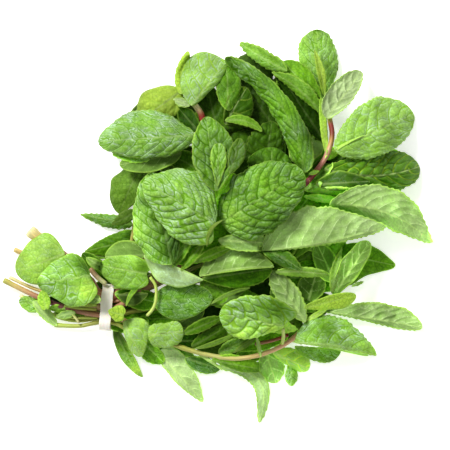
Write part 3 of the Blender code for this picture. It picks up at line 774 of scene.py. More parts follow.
# %% The stems of the bunch
OLIVE, TAN, PINK = (0.36, 0.38, 0.08), (0.56, 0.44, 0.17), (0.46, 0.26, 0.15)
PURPLE, RED, CREAM = (0.13, 0.035, 0.045), (0.30, 0.05, 0.04), (0.72, 0.68, 0.38)
LIME, GREEN, BUFF = (0.45, 0.58, 0.12), (0.20, 0.36, 0.05), (0.62, 0.42, 0.30)
STEMS = [
    ("stem_low", 1.5, 1.25,
     [(-133.5, -33.3, 6), (-119, -40.5, 7), (-104, -47, 8), (-88, -52, 8.4), (-76.3, -54.2, 8.4),
      (-66.3, -55, 8.6), (-48, -64, 11), (-30, -72, 14), (-14, -77, 15.5), (4, -80, 16.5), (20, -78, 17),
      (35, -72, 17), (46, -63, 17), (55, -52, 16)],
     [(0, OLIVE), (0.04, TAN), (0.09, PINK), (0.16, PURPLE), (0.3, PINK), (0.5, OLIVE), (0.56, OLIVE),
      (0.66, (0.50, 0.50, 0.18)), (0.78, (0.62, 0.48, 0.2)), (0.86, (0.68, 0.42, 0.26)),
      (0.93, (0.62, 0.36, 0.22)), (1, LIME)]),
    ("stem_thick", 3.2, 1.7,
     [(-118, -3.2, 7), (-106, -13, 7.5), (-92, -24, 7.8), (-82, -34, 7.9), (-76.3, -41.1, 7.9),
      (-66.3, -42, 8), (-58, -36, 9.5), (-44, -16, 12), (-30, 10, 16), (-20, 38, 20), (-13.5, 62, 22),
      (-19.5, 74, 25)],
     [(0, CREAM), (0.03, TAN), (0.2, PINK), (0.85, RED), (0.95, RED), (0.98, CREAM), (1, LIME)]),
    ("stem_brown", 1.3, 1.2,
     [(-127.5, -14.8, 3), (-110, -22.5, 3.2), (-94, -31.5, 3.3), (-84, -37.5, 3.4), (-76.3, -40.9, 3.4),
      (-66.3, -41.8, 3.6), (-61, -33, 6), (-57, -16, 12.5), (-53, 8, 15)],
     [(0, TAN), (0.3, PINK), (1, OLIVE)]),
    ("stem_crown", 1.7, 1.2,
     [(-99, -33.5, 3.4), (-86, -41.5, 3.4), (-76.3, -44.8, 3.4), (-66.3, -45.6, 3.5), (-56, -40, 5),
      (-40, -27, 10), (-22, -12, 18), (-10, -1, 30), (-6.5, 4, 42)],
     [(0, CREAM), (0.3, OLIVE), (1, GREEN)]),
    ("stem_thin", 1.0, 0.9,
     [(-130, -31.5, 6), (-116, -38, 7), (-101, -42.5, 8), (-86, -45, 8), (-76.3, -45.2, 8),
      (-66.3, -46, 8), (-54, -42.5, 9), (-36, -34, 12), (-14, -24, 16), (6, -18, 20)],
     [(0, CREAM), (0.1, TAN), (0.5, PINK), (1, GREEN)]),
    ("stem_right", 1.5, 1.2,
     [(-92, -48, 3.2), (-76.3, -48.8, 3.2), (-66.3, -49.6, 3.4), (-48, -44, 6), (-18, -34, 12),
      (16, -24, 17), (42, -12, 19), (58, -3, 18), (66, 5, 17)],
     [(0, CREAM), (0.2, PURPLE), (0.6, RED), (1, OLIVE)]),
    ("stem_red", 1.8, 1.4,
     [(-90, -47.5, 7.6), (-76.3, -49.6, 7.6), (-66.3, -50.4, 8.4), (-50, -39, 14), (-22, -22, 20),
      (8, -3, 26), (32, 12, 31), (46, 23, 34), (54, 32, 35), (60.5, 42, 35), (63.5, 53, 34), (62, 64, 32)],
     [(0, CREAM), (0.1, PINK), (0.66, PURPLE), (0.75, (0.15, 0.02, 0.04)), (0.82, (0.40, 0.09, 0.10)),
      (0.87, (0.62, 0.30, 0.24)), (0.90, (0.60, 0.40, 0.24)), (0.93, (0.50, 0.30, 0.10)),
      (0.95, (0.22, 0.05, 0.03)), (0.98, RED), (1, LIME)]),
    ("stem_yellow", 1.7, 1.2,
     [(-85, -53.6, 3.4), (-76.3, -52.9, 3.4), (-66.3, -53.7, 3.6), (-50, -51, 5), (-16, -47, 8),
      (16, -44, 11), (40, -47, 13), (49, -49, 14)],
     [(0, CREAM), (0.2, OLIVE), (1, LIME)]),
    ("stem_pale", 1.0, 0.9,
     [(-124, -42.5, 4), (-112, -49.5, 4), (-100, -56, 3.4), (-88, -58, 3), (-76.3, -56.6, 3),
      (-66.3, -57.4, 3), (-57, -60, 3.5), (-51, -64.5, 4.5)],
     [(0, CREAM), (0.4, LIME), (0.6, OLIVE), (1, LIME)]),
    ("stem_edge", 1.2, 1.0,
     [(-103, -60.5, 3), (-88, -61, 4.5), (-76.3, -58.8, 5.6), (-66.3, -59.6, 5.6), (-58, -64, 6),
      (-50, -69, 7)],
     [(0, LIME), (0.4, OLIVE), (1, LIME)]),
    ("stalk_front", 0.9, 0.9,
     [(-44.5, -31, 30), (-41.3, -36, 29.5), (-41, -44, 28), (-43, -50, 26), (-46.5, -54, 24)],
     [(0, LIME), (1, (0.55, 0.66, 0.20))]),
    ("stalk_low", 1.0, 1.0, [(34.5, -61.5, 28), (34.8, -66.5, 25), (34.3, -71, 21)],
     [(0, (0.6, 0.72, 0.25)), (1, LIME)]),
    ("tail_pink", 1.5, 1.3, [(-81, -26, 13.5), (-77, -31, 13.5), (-71.5, -35.5, 12.5)],
     [(0, PINK), (0.4, BUFF), (0.7, CREAM)]),
    ("low_red", 1.0, 1.0, [(18, -71.5, 12), (28, -69.5, 13), (38, -66, 14)], [(0, PINK), (1, RED)]),
    ("mid_purple", 1.1, 1.0, [(-9, -46, 12), (-1, -41, 13), (6, -36.5, 14)], [(0, PURPLE), (1, PURPLE)]),
    ("tail_sprig_a", 0.8, 0.8, [(-97, -49, 9), (-88, -50.2, 9.4), (-77, -51, 9.6)], [(0, LIME), (1, OLIVE)]),
    ("tail_sprig_b", 0.8, 0.7, [(-93, -52, 9), (-90, -56, 8.4), (-88, -59, 7.5)], [(0, LIME), (1, CREAM)]),
    ("tail_sprig_c", 0.9, 0.8, [(-100, -54.5, 5), (-90, -56, 6), (-77, -56, 6.4)], [(0, OLIVE), (1, LIME)]),
    ("tail_sprig_d", 0.8, 0.8, [(-91, -47, 9.4), (-84, -48.5, 9.4), (-77, -48.4, 9.4)],
     [(0, LIME), (1, LIME)]),
    ("tail_sprig_e", 1.2, 1.1, [(-123, -39, 5.5), (-112, -43.6, 7), (-101, -48.6, 7.6)],
     [(0, OLIVE), (0.5, LIME), (1, OLIVE)]),
]
STAMP_SHARE = 0.7


def make_stem(name, first, last, points, colours):
    """One stem in its node's place, a stalk at its node's height; returns ring centres and radii."""
    is_node, is_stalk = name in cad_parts, name.startswith("stalk")
    places = np.array(points, float)
    if is_stalk:
        highest = smooth_path(points)[0][:, 2].max() + max(first, last)
        places[:, 2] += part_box(name)[1].z / MM - highest
    piece, path, radius = tube(name, places, first, last, colours, joints=is_node and not is_stalk)
    if is_node:
        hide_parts(name)
    return path, radius


stem_tops = field(0)
for stem in STEMS:
    path, radius = make_stem(*stem)
    if not stem[0].startswith("stalk"):
        for shift in (-STAMP_SHARE, 0, STAMP_SHARE):
            beside = path[:, :2] + shift * radius
            stamp(stem_tops, np.maximum, beside[:, :1], beside[:, 1:], path[:, 2:] + radius)
print("stems:", len(STEMS))

# %% [markdown]
# ## Which leaf is where
# The leaves are listed in the order in which they lie, from the table up.  Each row gives the
# name, the foot and the tip of the midrib, the half widths to the left and to the right near
# the foot, half-way and near the tip, the level in the mound, and the look.  Only what is not
# plain follows: a bow, a lobe at the foot, a rise along the blade or at its sides, and a leaf
# that lies with its underside up.  The lightness in a look is partly painted light and shade:
# leaves deep in the heap, such as the core and gap leaves, are painted far lighter than their
# place is lit, and tail_under and arch_shade are painted dark as shade in the gaps.

# %% The leaves
LEAVES = [
    Leaf("low_tail", (-67, -61), (-50, -92), (3, 3.4, 2.4), (3, 4.5, 2.8), .1, (.45, .8, .3, .3, 0), bow=-1.5,
         rise=(-3, 1, -2), sides=(2, -2)),
    Leaf("low_long", (-41, -77), (-13.5, -107), (15.5, 9, 4), (5, 4.5, 3.5), .15, (.85, 1.22), bow=1,
         rise=(2, 3, -4), sides=(-2, -2), under=True),
    Leaf("low_dark", (-51, -69), (-37, -83), (3, 4, 5), (5, 7.5, 6.5), .25, (.3, 1.6, .1), rise=(4, 2, -3),
         sides=(0, -2)),
    Leaf("low_serrated", (-24, -80), (-3, -87), (2.5, 4, 3), (5, 6, 6), .2, (.15, 1.6, .3), rise=(2, 1, -3),
         sides=(0, -2)),
    Leaf("low_gap_b", (-30, -70), (-8, -70), (4, 5, 4), None, .15, (.1, 1.6)),
    Leaf("low_gap_c", (-60, -52), (-36, -54), (4, 5, 4), None, .1, (.2, 2.4)),
    Leaf("low_gap", (4, -74), (38, -68), (4, 6, 5), (4, 5, 4), .2, (.3, 3)),
    Leaf("low_gap_h", (-58, -33), (-40, -32), (3, 4, 3), None, .05, (.3, 1.2)),
    Leaf("low_gap_g", (-30, 40), (-14, 46), (3, 4, 3), None, .2, (.25, 1)),
    Leaf("low_gap_f", (-22, -34), (-4, -22), (3, 4, 3), None, .1, (.25, 1.2)),
    Leaf("low_gap_e", (6, -79), (26, -80), (3.5, 4.5, 3), (2.5, 3, 2), .1, (.3, 1.4)),
    Leaf("low_gap_d", (-30, -56), (-50, -57), (4, 5, 4), (3, 4, 3), .1, (.3, 1.2)),
    Leaf("low_hang", (-4, -86), (20.5, -119.5), (5, 4, 4), (4, 5, 4.5), .15, (.75, 1.3, .35, .4, .4), bow=15,
         rise=(3, 2, -4), sides=(-2, -2), under=True),
    Leaf("low_green", (-8, -81), (24, -87), (5, 6, 4), (1, 4, 4), .45, (.4, 1.05), rise=(4, 3, 0),
         sides=(0, -3)),
    Leaf("strip_a", (-17, -77.3), (-1.5, -87.6), (.8, .9, .6), None, .5, (.8, 1.2, 0, 0, 0), bow=.8,
         under=True),
    # tail_under is painted nearly black: painted shade in the gaps under the stems.
    Leaf("tail_under", (-76, -50), (-108, -45), (5, 6, 4), None, .05, (.1, .25)),
    Leaf("tail_under_b", (-78, -55.5), (-104, -53.5), (3, 3.5, 2), (2.5, 3, 2), .05, (.4, 1)),
    Leaf("band_under", (-62, -38), (-80, -38), (5, 6, 5), None, .05, (.1, .9)),
    Leaf("band_gap", (-70, -19.5), (-84, -17.5), (1.6, 2, 1.6), (2, 2, 1.6), .1, (.35, .8, 0, .3, .2)),
    Leaf("band_under_b", (-46, -58), (-74, -60), (5, 6, 4), None, .05, (.2, 2.2)),
    Leaf("band_under_c", (-40, -50), (-72, -48), (6, 7, 6), None, .05, (.2, 1.4)),
    Leaf("right_under", (30, -32), (78, -30), (8, 10, 8), None, .3, (.2, 3)),
    Leaf("low_small", (40, -83), (40, -97.5), (3, 4, 4), (2.5, 3.5, 3.5), .2, (.45, 1.6, .6), lobes=(1, 1),
         rise=(4, 1, -5), sides=(0, -2)),
    Leaf("low_veined", (24, -75), (31, -95.5), (7, 8, 7), (5, 7, 7), .1, (.65, 1.6, 0, .6, .5),
         rise=(2, 1, -2), sides=(0, -1), under=True),
    Leaf("low_shade", (42, -73), (70, -76.5), (1, 1, 3), (5, 8.5, 9), .15, (.4, 1.3, .4, .3), rise=(3, 2, -3),
         sides=(0, -2)),
    Leaf("low_light", (29, -77), (51, -87), (6, 8, 9), (3, 4, 6), .15, (.7, 1.4, .4, .7), rise=(2, 2, -2),
         sides=(-1, -1)),
    Leaf("left_spike", (-56, 0), (-87.5, 6.5), (5, 4.5, 2), (6, 3.5, 1.5), .15, (.35, .85, .5, .4, .5),
         rise=(3, 3, -3), sides=(-2, -2)),
    Leaf("left_shade", (-50, -7.5), (-85, -16), (6, 7, 3), (9, 6.5, 2), .15, (.3, .8, 0, .4, .15),
         rise=(3, 2, -3), sides=(-1, -2)),
    Leaf("tail_fill", (-68, -34), (-86, -17), (4, 5, 5), None, .3, (.2, .8)),
    Leaf("right_low_dark", (68, -17), (103, -24.5), (10, 9, 4.5), (28, 12, 6), .25, (.3, 1.4, 0, .3, 0),
         rise=(4, 3, -5), sides=(-3, -3)),
    Leaf("right_low_fill", (64, -33), (81, -32), (2, 3, 2), (3, 4.5, 3), .2, (.3, 1, 0, .3, .2)),
    Leaf("arch_shade", (60, 50), (30, 96), (6, 7, 5), (9, 9, 5), .2, (.2, .5)),
    Leaf("right_low_rim", (38, -69.5), (87, -79), (2, 2, 1.5), (2, 2.6, 3), .36, (.9, 1.5, 0, .1, 0), bow=2.5,
         rise=(4, 3, -6), sides=(-1, -1), under=True),
    Leaf("right_low_pale", (60, -52.3), (119, -62), (5, 9.5, 11), (1, 2.5, 6), .3, (.7, 1.15, 0, .7, .4),
         bow=.5, rise=(5, 4, -5), sides=(-4, -3), under=True),
    # The core leaves are painted far lighter than their place is lit: painted light deep in the heap.
    Leaf("core_a", (-30, -22), (14, 18), (12, 15, 14), None, .55, (.3, 3.6)),
    Leaf("core_b", (-8, -34), (40, 2), (12, 15, 14), None, .4, (.3, 1.2)),
    Leaf("core_c", (-6, 14), (16, 56), (12, 15, 14), None, .5, (.3, .6)),
    Leaf("core_d", (30, -10), (60, 30), (12, 15, 14), None, .55, (.3, 4)),
    Leaf("left_dark", (-37, 26), (-60, 32), (8, 9, 6), (8, 9, 8), .1, (.25, .55), rise=(4, 3, -4),
         sides=(-2, -4)),
    Leaf("right_low_big", (42, -70.5), (91.5, -79), (20, 17, 7), (1, 1.6, 1.6), .4, (.56, 1.15, 1, .4, .6),
         bow=2.5, rise=(6, 5, -6), sides=(-6, -1)),
    Leaf("inner_dark_a", (66, -34), (55, -11), (8, 7, 6), (6, 7, 6), .4, (.3, 1.9), under=True),
    Leaf("inner_dark_b", (50, -46), (55, -28), (8, 9, 7), (6, 8, 7), .35, (.25, 1.25), under=True),
    Leaf("right_inner", (65, -42), (86.5, -10), (5, 8, 9), (4, 5.5, 6), .55, (.55, 1.65, 0, .8, 0),
         rise=(2, 4, 0), sides=(3, -3), under=True),
    Leaf("right_scrap", (84, -34.3), (76.5, -37), (.8, 1.1, .9), (.8, 1, .8), 0, (.75, 1.1, 0, .3),
         under=True),
    Leaf("right_strip", (64, -41), (70, -13), (2.5, 3, 1), (2, 2.5, 1), .6, (.6, .8, .3), bow=1,
         rise=(2, 3, 0), sides=(2, -2)),
    Leaf("left_olive", (-50, 38), (-64, 7), (10, 8.5, 4.5), (6.5, 13, 10.5), .4, (.55, .48, 0, .3, 0),
         rise=(2, 4, -6), sides=(2, -6)),
    Leaf("left_tip", (-53, 8), (-68, 0), (3, 3.5, 1), (4, 4, 1), .55, (.55, .35), rise=(0, 1, 0)),
    Leaf("right_dark", (59, 33), (117.5, 35.5), (9, 15, 17), (5, 9, 15.5), .4, (.3, .85, .15, .9, .4), bow=-5,
         rise=(0, 3, -6), sides=(-4, -5)),
    Leaf("right_mid", (54, 24), (86, 26), (6, 6.5, 3), (4, 5, 4), .4, (.25, .8, .4, .2, 0), rise=(0, 2, -2),
         sides=(2, -2)),
    Leaf("right_curl_a", (50, 20), (80, 20), (2.5, 3, 2), (2, 2.5, 2), .6, (.7, 1.7, .4), rise=(0, 2, 0),
         sides=(3, -2)),
    Leaf("right_curl_b", (47, 17), (72, 14), (2, 2.5, 2), None, .6, (.6, 2.4, .3), rise=(0, 2, 0),
         sides=(2, -2)),
    Leaf("right_top_foot", (59.5, 39.5), (69, 46.5), (1.8, 2, 1.5), (2.8, 2.8, 2), .66, (.8, 1.8, .2, .2, .1),
         rise=(0, 1, 0)),
    Leaf("right_fill", (50, 26), (64, 37), (3, 4, 3), None, .45, (.4, 2.2), rise=(0, 1, 0), under=True),
    Leaf("right_curl_c", (47, 21), (57.5, 25), (2.5, 3, 2), None, .62, (.55, 1.7, .5), rise=(0, 1, 0)),
    Leaf("mid_deep_a", (30, 58), (6, 90), (10, 9, 7), (8, 9, 8), .45, (.3, .36)),
    Leaf("mid_deep_b", (-5, 58), (-11, 84), (8, 8, 6), (7, 8, 6), .45, (.3, .5)),
    Leaf("mid_deep_c", (-17, 34), (-32, 42), (6, 7, 5), (7, 7, 5), .5, (.3, .85)),
    Leaf("low_mid_blue_b", (-4, -77), (17, -67), (4, 4.5, 3), (3, 4, 3), .45, (.4, .95, .3), rise=(0, 1, 0)),
    Leaf("low_mid_green", (-20, -73), (4, -59), (4, 4.5, 3), (4, 5, 4), .5, (.3, .58), rise=(0, 2, 0),
         sides=(0, -2)),
    Leaf("strip_c", (-18, -74), (6, -65), (1, 1.6, 1), (1, 1.8, 1), .6, (.5, .6, 0, .2, 0), bow=-1),
    Leaf("strip_d", (5, -76.5), (18.5, -67.5), (1, 1.8, 1), None, .6, (.55, .5, 0, .2, 0)),
    Leaf("strip_b", (19, -67), (21.5, -79), (1.2, 1.3, 1), None, .6, (.7, 1.1, 0, 0, 0), under=True),
    Leaf("low_mid_blue", (-25, -65), (-2, -55), (3, 4, 3), (3, 3.5, 3), .58, (.35, .61), rise=(0, 2, 0)),
    Leaf("top_left_yellow", (-26, 80), (-51, 62), (9, 10.5, 7), (10, 13, 13.5), .6, (.92, .54, 0, .5, 0),
         rise=(0, 3, -4), sides=(-2, -5)),
    Leaf("top_left_scrap", (-31, 75), (-21, 71), (2, 3, 2), (2, 2.5, 2), .65, (.8, .9), under=True),
    Leaf("upper_left_under", (-26, 43), (-63, 36), (7, 8, 7), (8, 8, 6), .6, (.42, .85, 0, .2, 0),
         rise=(0, 0, -3), sides=(0, -2), under=True),
    Leaf("upper_left_low", (-45, 39), (-67.5, 42.5), (3, 3.5, 2), (3, 3, 2), .55, (.35, 1.5, .3, .4, .4),
         rise=(0, 0, -2)),
    Leaf("top_dark", (-16, 56), (-28, 70), (5, 5.5, 3), (4, 5.5, 5), .6, (.15, .6)),
    Leaf("mid_serrated", (24, 35), (28, 62), (9, 13, 7), (8, 9, 7), .6, (.3, .45, 0, .6, 1), rise=(0, 1, 0)),
    Leaf("mid_striped", (0, 60), (13, 82), (4, 6, 7), (7, 11, 6), .62, (.22, .5, 0, .7), rise=(0, 1, 0),
         sides=(3, 0)),
    Leaf("mid_rolled", (0, 62), (22, 55.5), (3, 3.5, 2.5), (2.5, 3, 2), .7, (.5, .75), bow=3, rise=(0, 1, 0)),
    Leaf("top_patch", (2, 68), (1, 97.5), (5, 7, 6), (6, 8, 7), .66, (.35, .8, .1)),
    Leaf("top_upright", (58.5, 69), (55.5, 118), (3, 11.5, 15), (4, 11, 15), .4, (.55, 1, .5, .4, .4),
         rise=(8, 5, -6), sides=(-3, -4)),
    Leaf("top_curl", (59, 77), (53.5, 105), (2, 2.5, 1.5), None, .75, (.95, .65, 0, .6, .4), bow=-1,
         rise=(0, 4, 2), sides=(2, 2)),
    Leaf("top_mid", (57, 71), (35, 98), (3, 5, 5), (4, 9, 8), .68, (.4, .88, 0, .4, .5), rise=(3, 3, -2),
         sides=(0, 2)),
    Leaf("top_spike", (37, 92), (9, 109.5), (4, 4.5, 3), (5, 5, 4), .7, (.5, .95, .3, .4, .6), bow=1,
         rise=(0, 2, -3), sides=(-4, 4)),
    Leaf("top_fishbone", (57, 67), (28, 91), (3, 3, 2), (5, 6, 3), .78, (.45, .8, .1, .7, .5), bow=-2,
         rise=(0, 3, 0), sides=(-2, 2)),
    Leaf("top_link", (60, 42), (57, 76), (2, 2.2, 2), None, .85, (.8, .95, 0, .3, .2), rise=(0, 1, 0)),
    Leaf("top_fan_edge", (-26, 78), (-22, 104), (4, 3.5, 2.5), (4, 4.5, 3.5), .66, (1, .8), bow=2,
         rise=(0, 2, 2), sides=(0, 4)),
    Leaf("top_fan", (-20, 71), (1, 98), (16, 19, 25), (3, 4, 5), .7, (.64, .78, .8, .5, 0), rise=(0, 3, -2),
         sides=(-4, -3)),
    Leaf("right_top", (65, 44.5), (114, 67), (12, 18, 22), (13, 15, 13), .7, (.62, 1, .65, .45, .45),
         rise=(2, 4, -6), sides=(-4, -3)),
    Leaf("right_top_stalk", (60, 40.5), (82, 53), (.9, .8, .3), None, .8, (.75, 1.3, .5, 0, 0), bow=1),
    Leaf("top_pale", (60, 63), (82.5, 92.5), (11, 10, 8), (4.5, 6, 5), .76, (.9, .98, 0, .7), rise=(2, 3, -2),
         sides=(3, 2), under=True),
    Leaf("crown_back", (26, 22), (28, 46), (12, 14, 14), (12, 13, 12), .82, (.3, .85, .1, .9, .5),
         rise=(-2, 0, -4), sides=(-3, -3)),
    Leaf("crown_core", (-10, 8), (6, 30), (5, 7, 6), None, .95, (.45, 2, 0, .6), sides=(-2, -2)),
    Leaf("right_long", (62, 12), (124.5, -10.5), (10, 15, 3.8), (4, 8, 6), .45, (.7, 1.45, 0, .42, .5), bow=7,
         rise=(0, 4, -8), sides=(-4, -3), under=True),
    Leaf("low_mid_pale", (48, -58), (28, -27), (4, 7, 7), (5, 7, 5), .58, (.65, 1.03, 0, .7, .6),
         rise=(2, 3, 0), sides=(0, -3), under=True),
    Leaf("mid_shadow", (-14, -32), (28, -26), (2, 4, 4), (3, 9, 9), .6, (.2, 1.15)),
    Leaf("mid_strip", (-9, -47.5), (15, -37.5), (1, 1.4, 1), None, .6, (.5, .7, .2, .1, 0), bow=1.5),
    Leaf("low_mid_edge", (30, -28), (62, -29.5), (3, 3, 3), (3, 3.5, 2.5), .62, (.62, 1.15, .25), bow=1,
         rise=(0, 2, 0), sides=(3, -3)),
    Leaf("low_point", (20, -59), (43.5, -62.5), (3, 4.5, 2.5), (3, 4, 2), .6, (.7, 1.4, .1, .4, .4),
         rise=(0, 1, 0)),
    Leaf("low_node", (49, -57), (61, -50), (1.6, 1.7, 1.5), None, .6, (.95, 1.2, .5, .2, .1), rise=(0, 1, 0)),
    Leaf("right_yellow", (47, -49.5), (78.5, -42), (3, 3.5, 4), (2, 5.5, 7), .6, (.85, 1.15, 0, .15, 0),
         rise=(2, 2, 0), sides=(2, -2)),
    Leaf("tail_low", (-110, -49), (-124.5, -46), (5, 5, 4), (3, 4, 5), .6, (.6, 1.05, .6)),
    Leaf("tail_bit_a", (-96, -50.5), (-106, -50), (2, 2.5, 2), None, 1, (.5, 1)),
    Leaf("tail_bit_b", (-90, -52.5), (-102, -55.5), (2, 2.8, 2), (2, 2.5, 2), 1, (.6, 1, .2), under=True),
    Leaf("tail_pale", (-116, -46), (-101.5, -61), (4.5, 4, 3), (2, 3, 2), 1.2, (.7, 1.2), rise=(0, 0, -3),
         under=True),
    Leaf("tail_inner", (-74, -45), (-85, -42), (3, 4, 3), (3, 3, 3), 1, (.6, .95), under=True),
    Leaf("tail_scrap", (-70, -27), (-83, -19.5), (2.5, 3.4, 3), (2, 2.5, 2), .8, (.55, .95, 0, .3, 0),
         under=True),
    Leaf("band_cover", (-66.3, -41), (-38, -47), (4, 6.5, 5), (4, 7, 5), .4, (.2, 1.6, 0, .3, .2)),
    Leaf("tail_left", (-96, -17), (-125.5, -28.5), (12, 14, 11), (22, 15.5, 13), .4, (.7, .85, .35, .25, 0),
         rise=(2, 2, -2), sides=(-3, -5)),
    Leaf("tail_right", (-80, -30), (-112.5, -35), (26, 15.5, 10), (20, 14, 8), .45, (.52, 1.06, .75, .4, .15),
         lobes=(4, 0), rise=(3, 3, -2), sides=(-3, -6)),
    Leaf("tail_round", (-107.5, -50.5), (-110, -39.5), (3.5, 4, 3), None, 2.2, (.75, 1.1), lobes=(1, 1)),
    Leaf("band_small", (-60.5, -54), (-70, -51.5), (6, 4.5, 2), (7, 5, 2), .8, (.9, .85), lobes=(1, 1)),
    Leaf("band_low_pale", (-61, -58), (-50, -79), (17, 11.5, 4), (2, 4.5, 6), .45, (.68, .95, .75, .3, .2),
         rise=(2, 2, -3), sides=(0, -3)),
    Leaf("low_square", (-46, -66), (-25, -63.5), (11, 6.5, 12), (13, 9, 12), .45, (.66, .92, .7, .3),
         rise=(2, 2, 0), sides=(-1, -3)),
    Leaf("band_bowl", (-64, -42), (-46, -41), (1, 1.5, 1), (5, 7, 4), .6, (.3, .45), under=True),
    Leaf("band_strip_a", (-67, -37.8), (-46, -35.3), (1.2, 1.7, 1), (1.2, 1.8, 1), .8, (.45, .8, 0, 0, 0),
         bow=.8, under=True),
    Leaf("band_strip_b", (-46, -33), (-59, -48.5), (1.2, 1.5, 1), (1.2, 1.6, 1), .8, (.4, .85, 0, 0, 0),
         bow=-2.5),
    Leaf("band_back", (-48, -18), (-72, -19), (4, 4, 4), (10, 9, 7), .5, (.5, 1, 0, .3, 0), rise=(0, 2, -2),
         sides=(0, -2), under=True),
    Leaf("band_front", (-46.5, -29), (-75, -24), (15, 12, 10.5), (12, 9, 7), .62, (.55, 1, .35, .35, 0),
         lobes=(3, 4), rise=(2, 3, -2), sides=(-3, -2)),
    Leaf("mid_oval", (-42.5, -45.5), (-7.5, -43), (11, 9.8, 9), (12, 12.5, 9), .6, (.33, 1.08, .5, .15, 0),
         rise=(2, 2, 0), sides=(-2, -2)),
    Leaf("mid_pale_long", (-15, -30.5), (29, -25), (9, 14, 7), (1, 1.5, 1), .72, (.55, .85, 0, .45, 0), bow=2,
         rise=(2, 2, 0), sides=(-4, 0), under=True),
    Leaf("mid_folded", (-48, -18), (-13, -32.5), (1, 1.3, 1), (4, 11.5, 3), .75, (.8, 1.2, 1, .1, 0),
         rise=(2, 2, 0), sides=(0, -5), under=True),
    Leaf("skirt_a", (-20, -8), (-31, -25), (2, 3, 2), (1.5, 2.5, 2), .8, (.35, 1.2, .1, .5), sides=(2, -3)),
    Leaf("skirt_b", (-12, -10), (-26, -27), (2, 3, 2), (1.5, 2.5, 2), .8, (.4, .85, 0, .5), sides=(2, -3)),
    Leaf("skirt_c", (-18, -22), (4, -13), (3, 4, 3), (2, 3, 2), .8, (.4, .75, 0, .5), sides=(2, -2)),
    Leaf("skirt_d", (-4, -9), (31, -11), (4, 5, 4), (5, 6, 4), .8, (.5, 1.1, .2, .5), under=True),
    Leaf("skirt_e", (20, -13), (46, -27), (3, 5, 3), None, .75, (.25, .85, .3, .5), bow=1, sides=(0, -2)),
    Leaf("crown_back_left", (-31, -23), (-44, 31), (21, 18, 13.5), (10, 9, 12), .84, (.52, 1, .6, .8),
         rise=(-2, 0, -3), sides=(-5, 0)),
    Leaf("right_big_pale", (22, -15.5), (96, -1), (22.5, 21.5, 8), (1, 1.5, 4), .78, (.68, 1.25, 0, .4, .6),
         bow=-2, rise=(0, 4, -4), sides=(-4, 0), under=True),
    Leaf("arch", (47, 31), (0, 99), (10.5, 7, 7), (14.5, 6, 8.5), .88, (.4, .75, .65, .6, .4), bow=-11,
         rise=(-2, 6, -3), sides=(-4, -5)),
    Leaf("stem_bud", (49.5, 30), (55.5, 32), (1, 1.3, 1), None, .9, (.7, 1.3, 0, .2, 0)),
    Leaf("upper_left", (-18, 53), (-76, 50), (12.5, 12.5, 10), (10, 18, 12), .8, (.5, .76, .9, .4, .35),
         rise=(2, 4, -5), sides=(-4, -5)),
    Leaf("low_front", (35, -60), (-3, -52), (3, 12.5, 13), (22, 15, 13), .85, (.5, 1.05, .75, .85, .4),
         lobes=(1, 8), rise=(2, 3, -2), sides=(-2, 3)),
    Leaf("crown_right", (-2, 1), (46, 31), (20.5, 19.5, 18), (26, 20, 16), .96, (.42, .81, .6, .75),
         rise=(0, 4, -3), sides=(-4, -4)),
    Leaf("crown_left", (-6, 1), (-48, 26), (29.5, 17.3, 13), (15, 21, 11), 1, (.55, .87, .7, .8, .25),
         lobes=(6.5, 0), rise=(0, 4, -3), sides=(-4, -4)),
    Leaf("crown_up", (-5, 20), (-11, 64), (8, 11, 8), (8, 14.5, 9), .97, (.45, .7, .4, .9), rise=(4, 3, -2),
         sides=(3, 2)),
    Leaf("crown_rim", (-1, 3), (-10.5, -12.8), (.8, 1, .8), (.8, 1.2, .8), 1.02, (.8, .5, 0, .1, 0), bow=-3.2,
         rise=(0, 0, -3)),
    Leaf("crown_bud_b", (3, 30), (9, 51), (3, 4, 4), (3, 5.5, 5), 1.05, (.5, .43, .4, .9), rise=(0, 2, 0),
         sides=(2, 2)),
    Leaf("crown_bud_a", (-4.5, 22), (-3.5, 48), (1, 4, 6.5), (1, 4.5, 6.5), 1.08, (.5, .8, .4, 1.2),
         rise=(0, 1, 0), sides=(1.2, 1.2)),
]
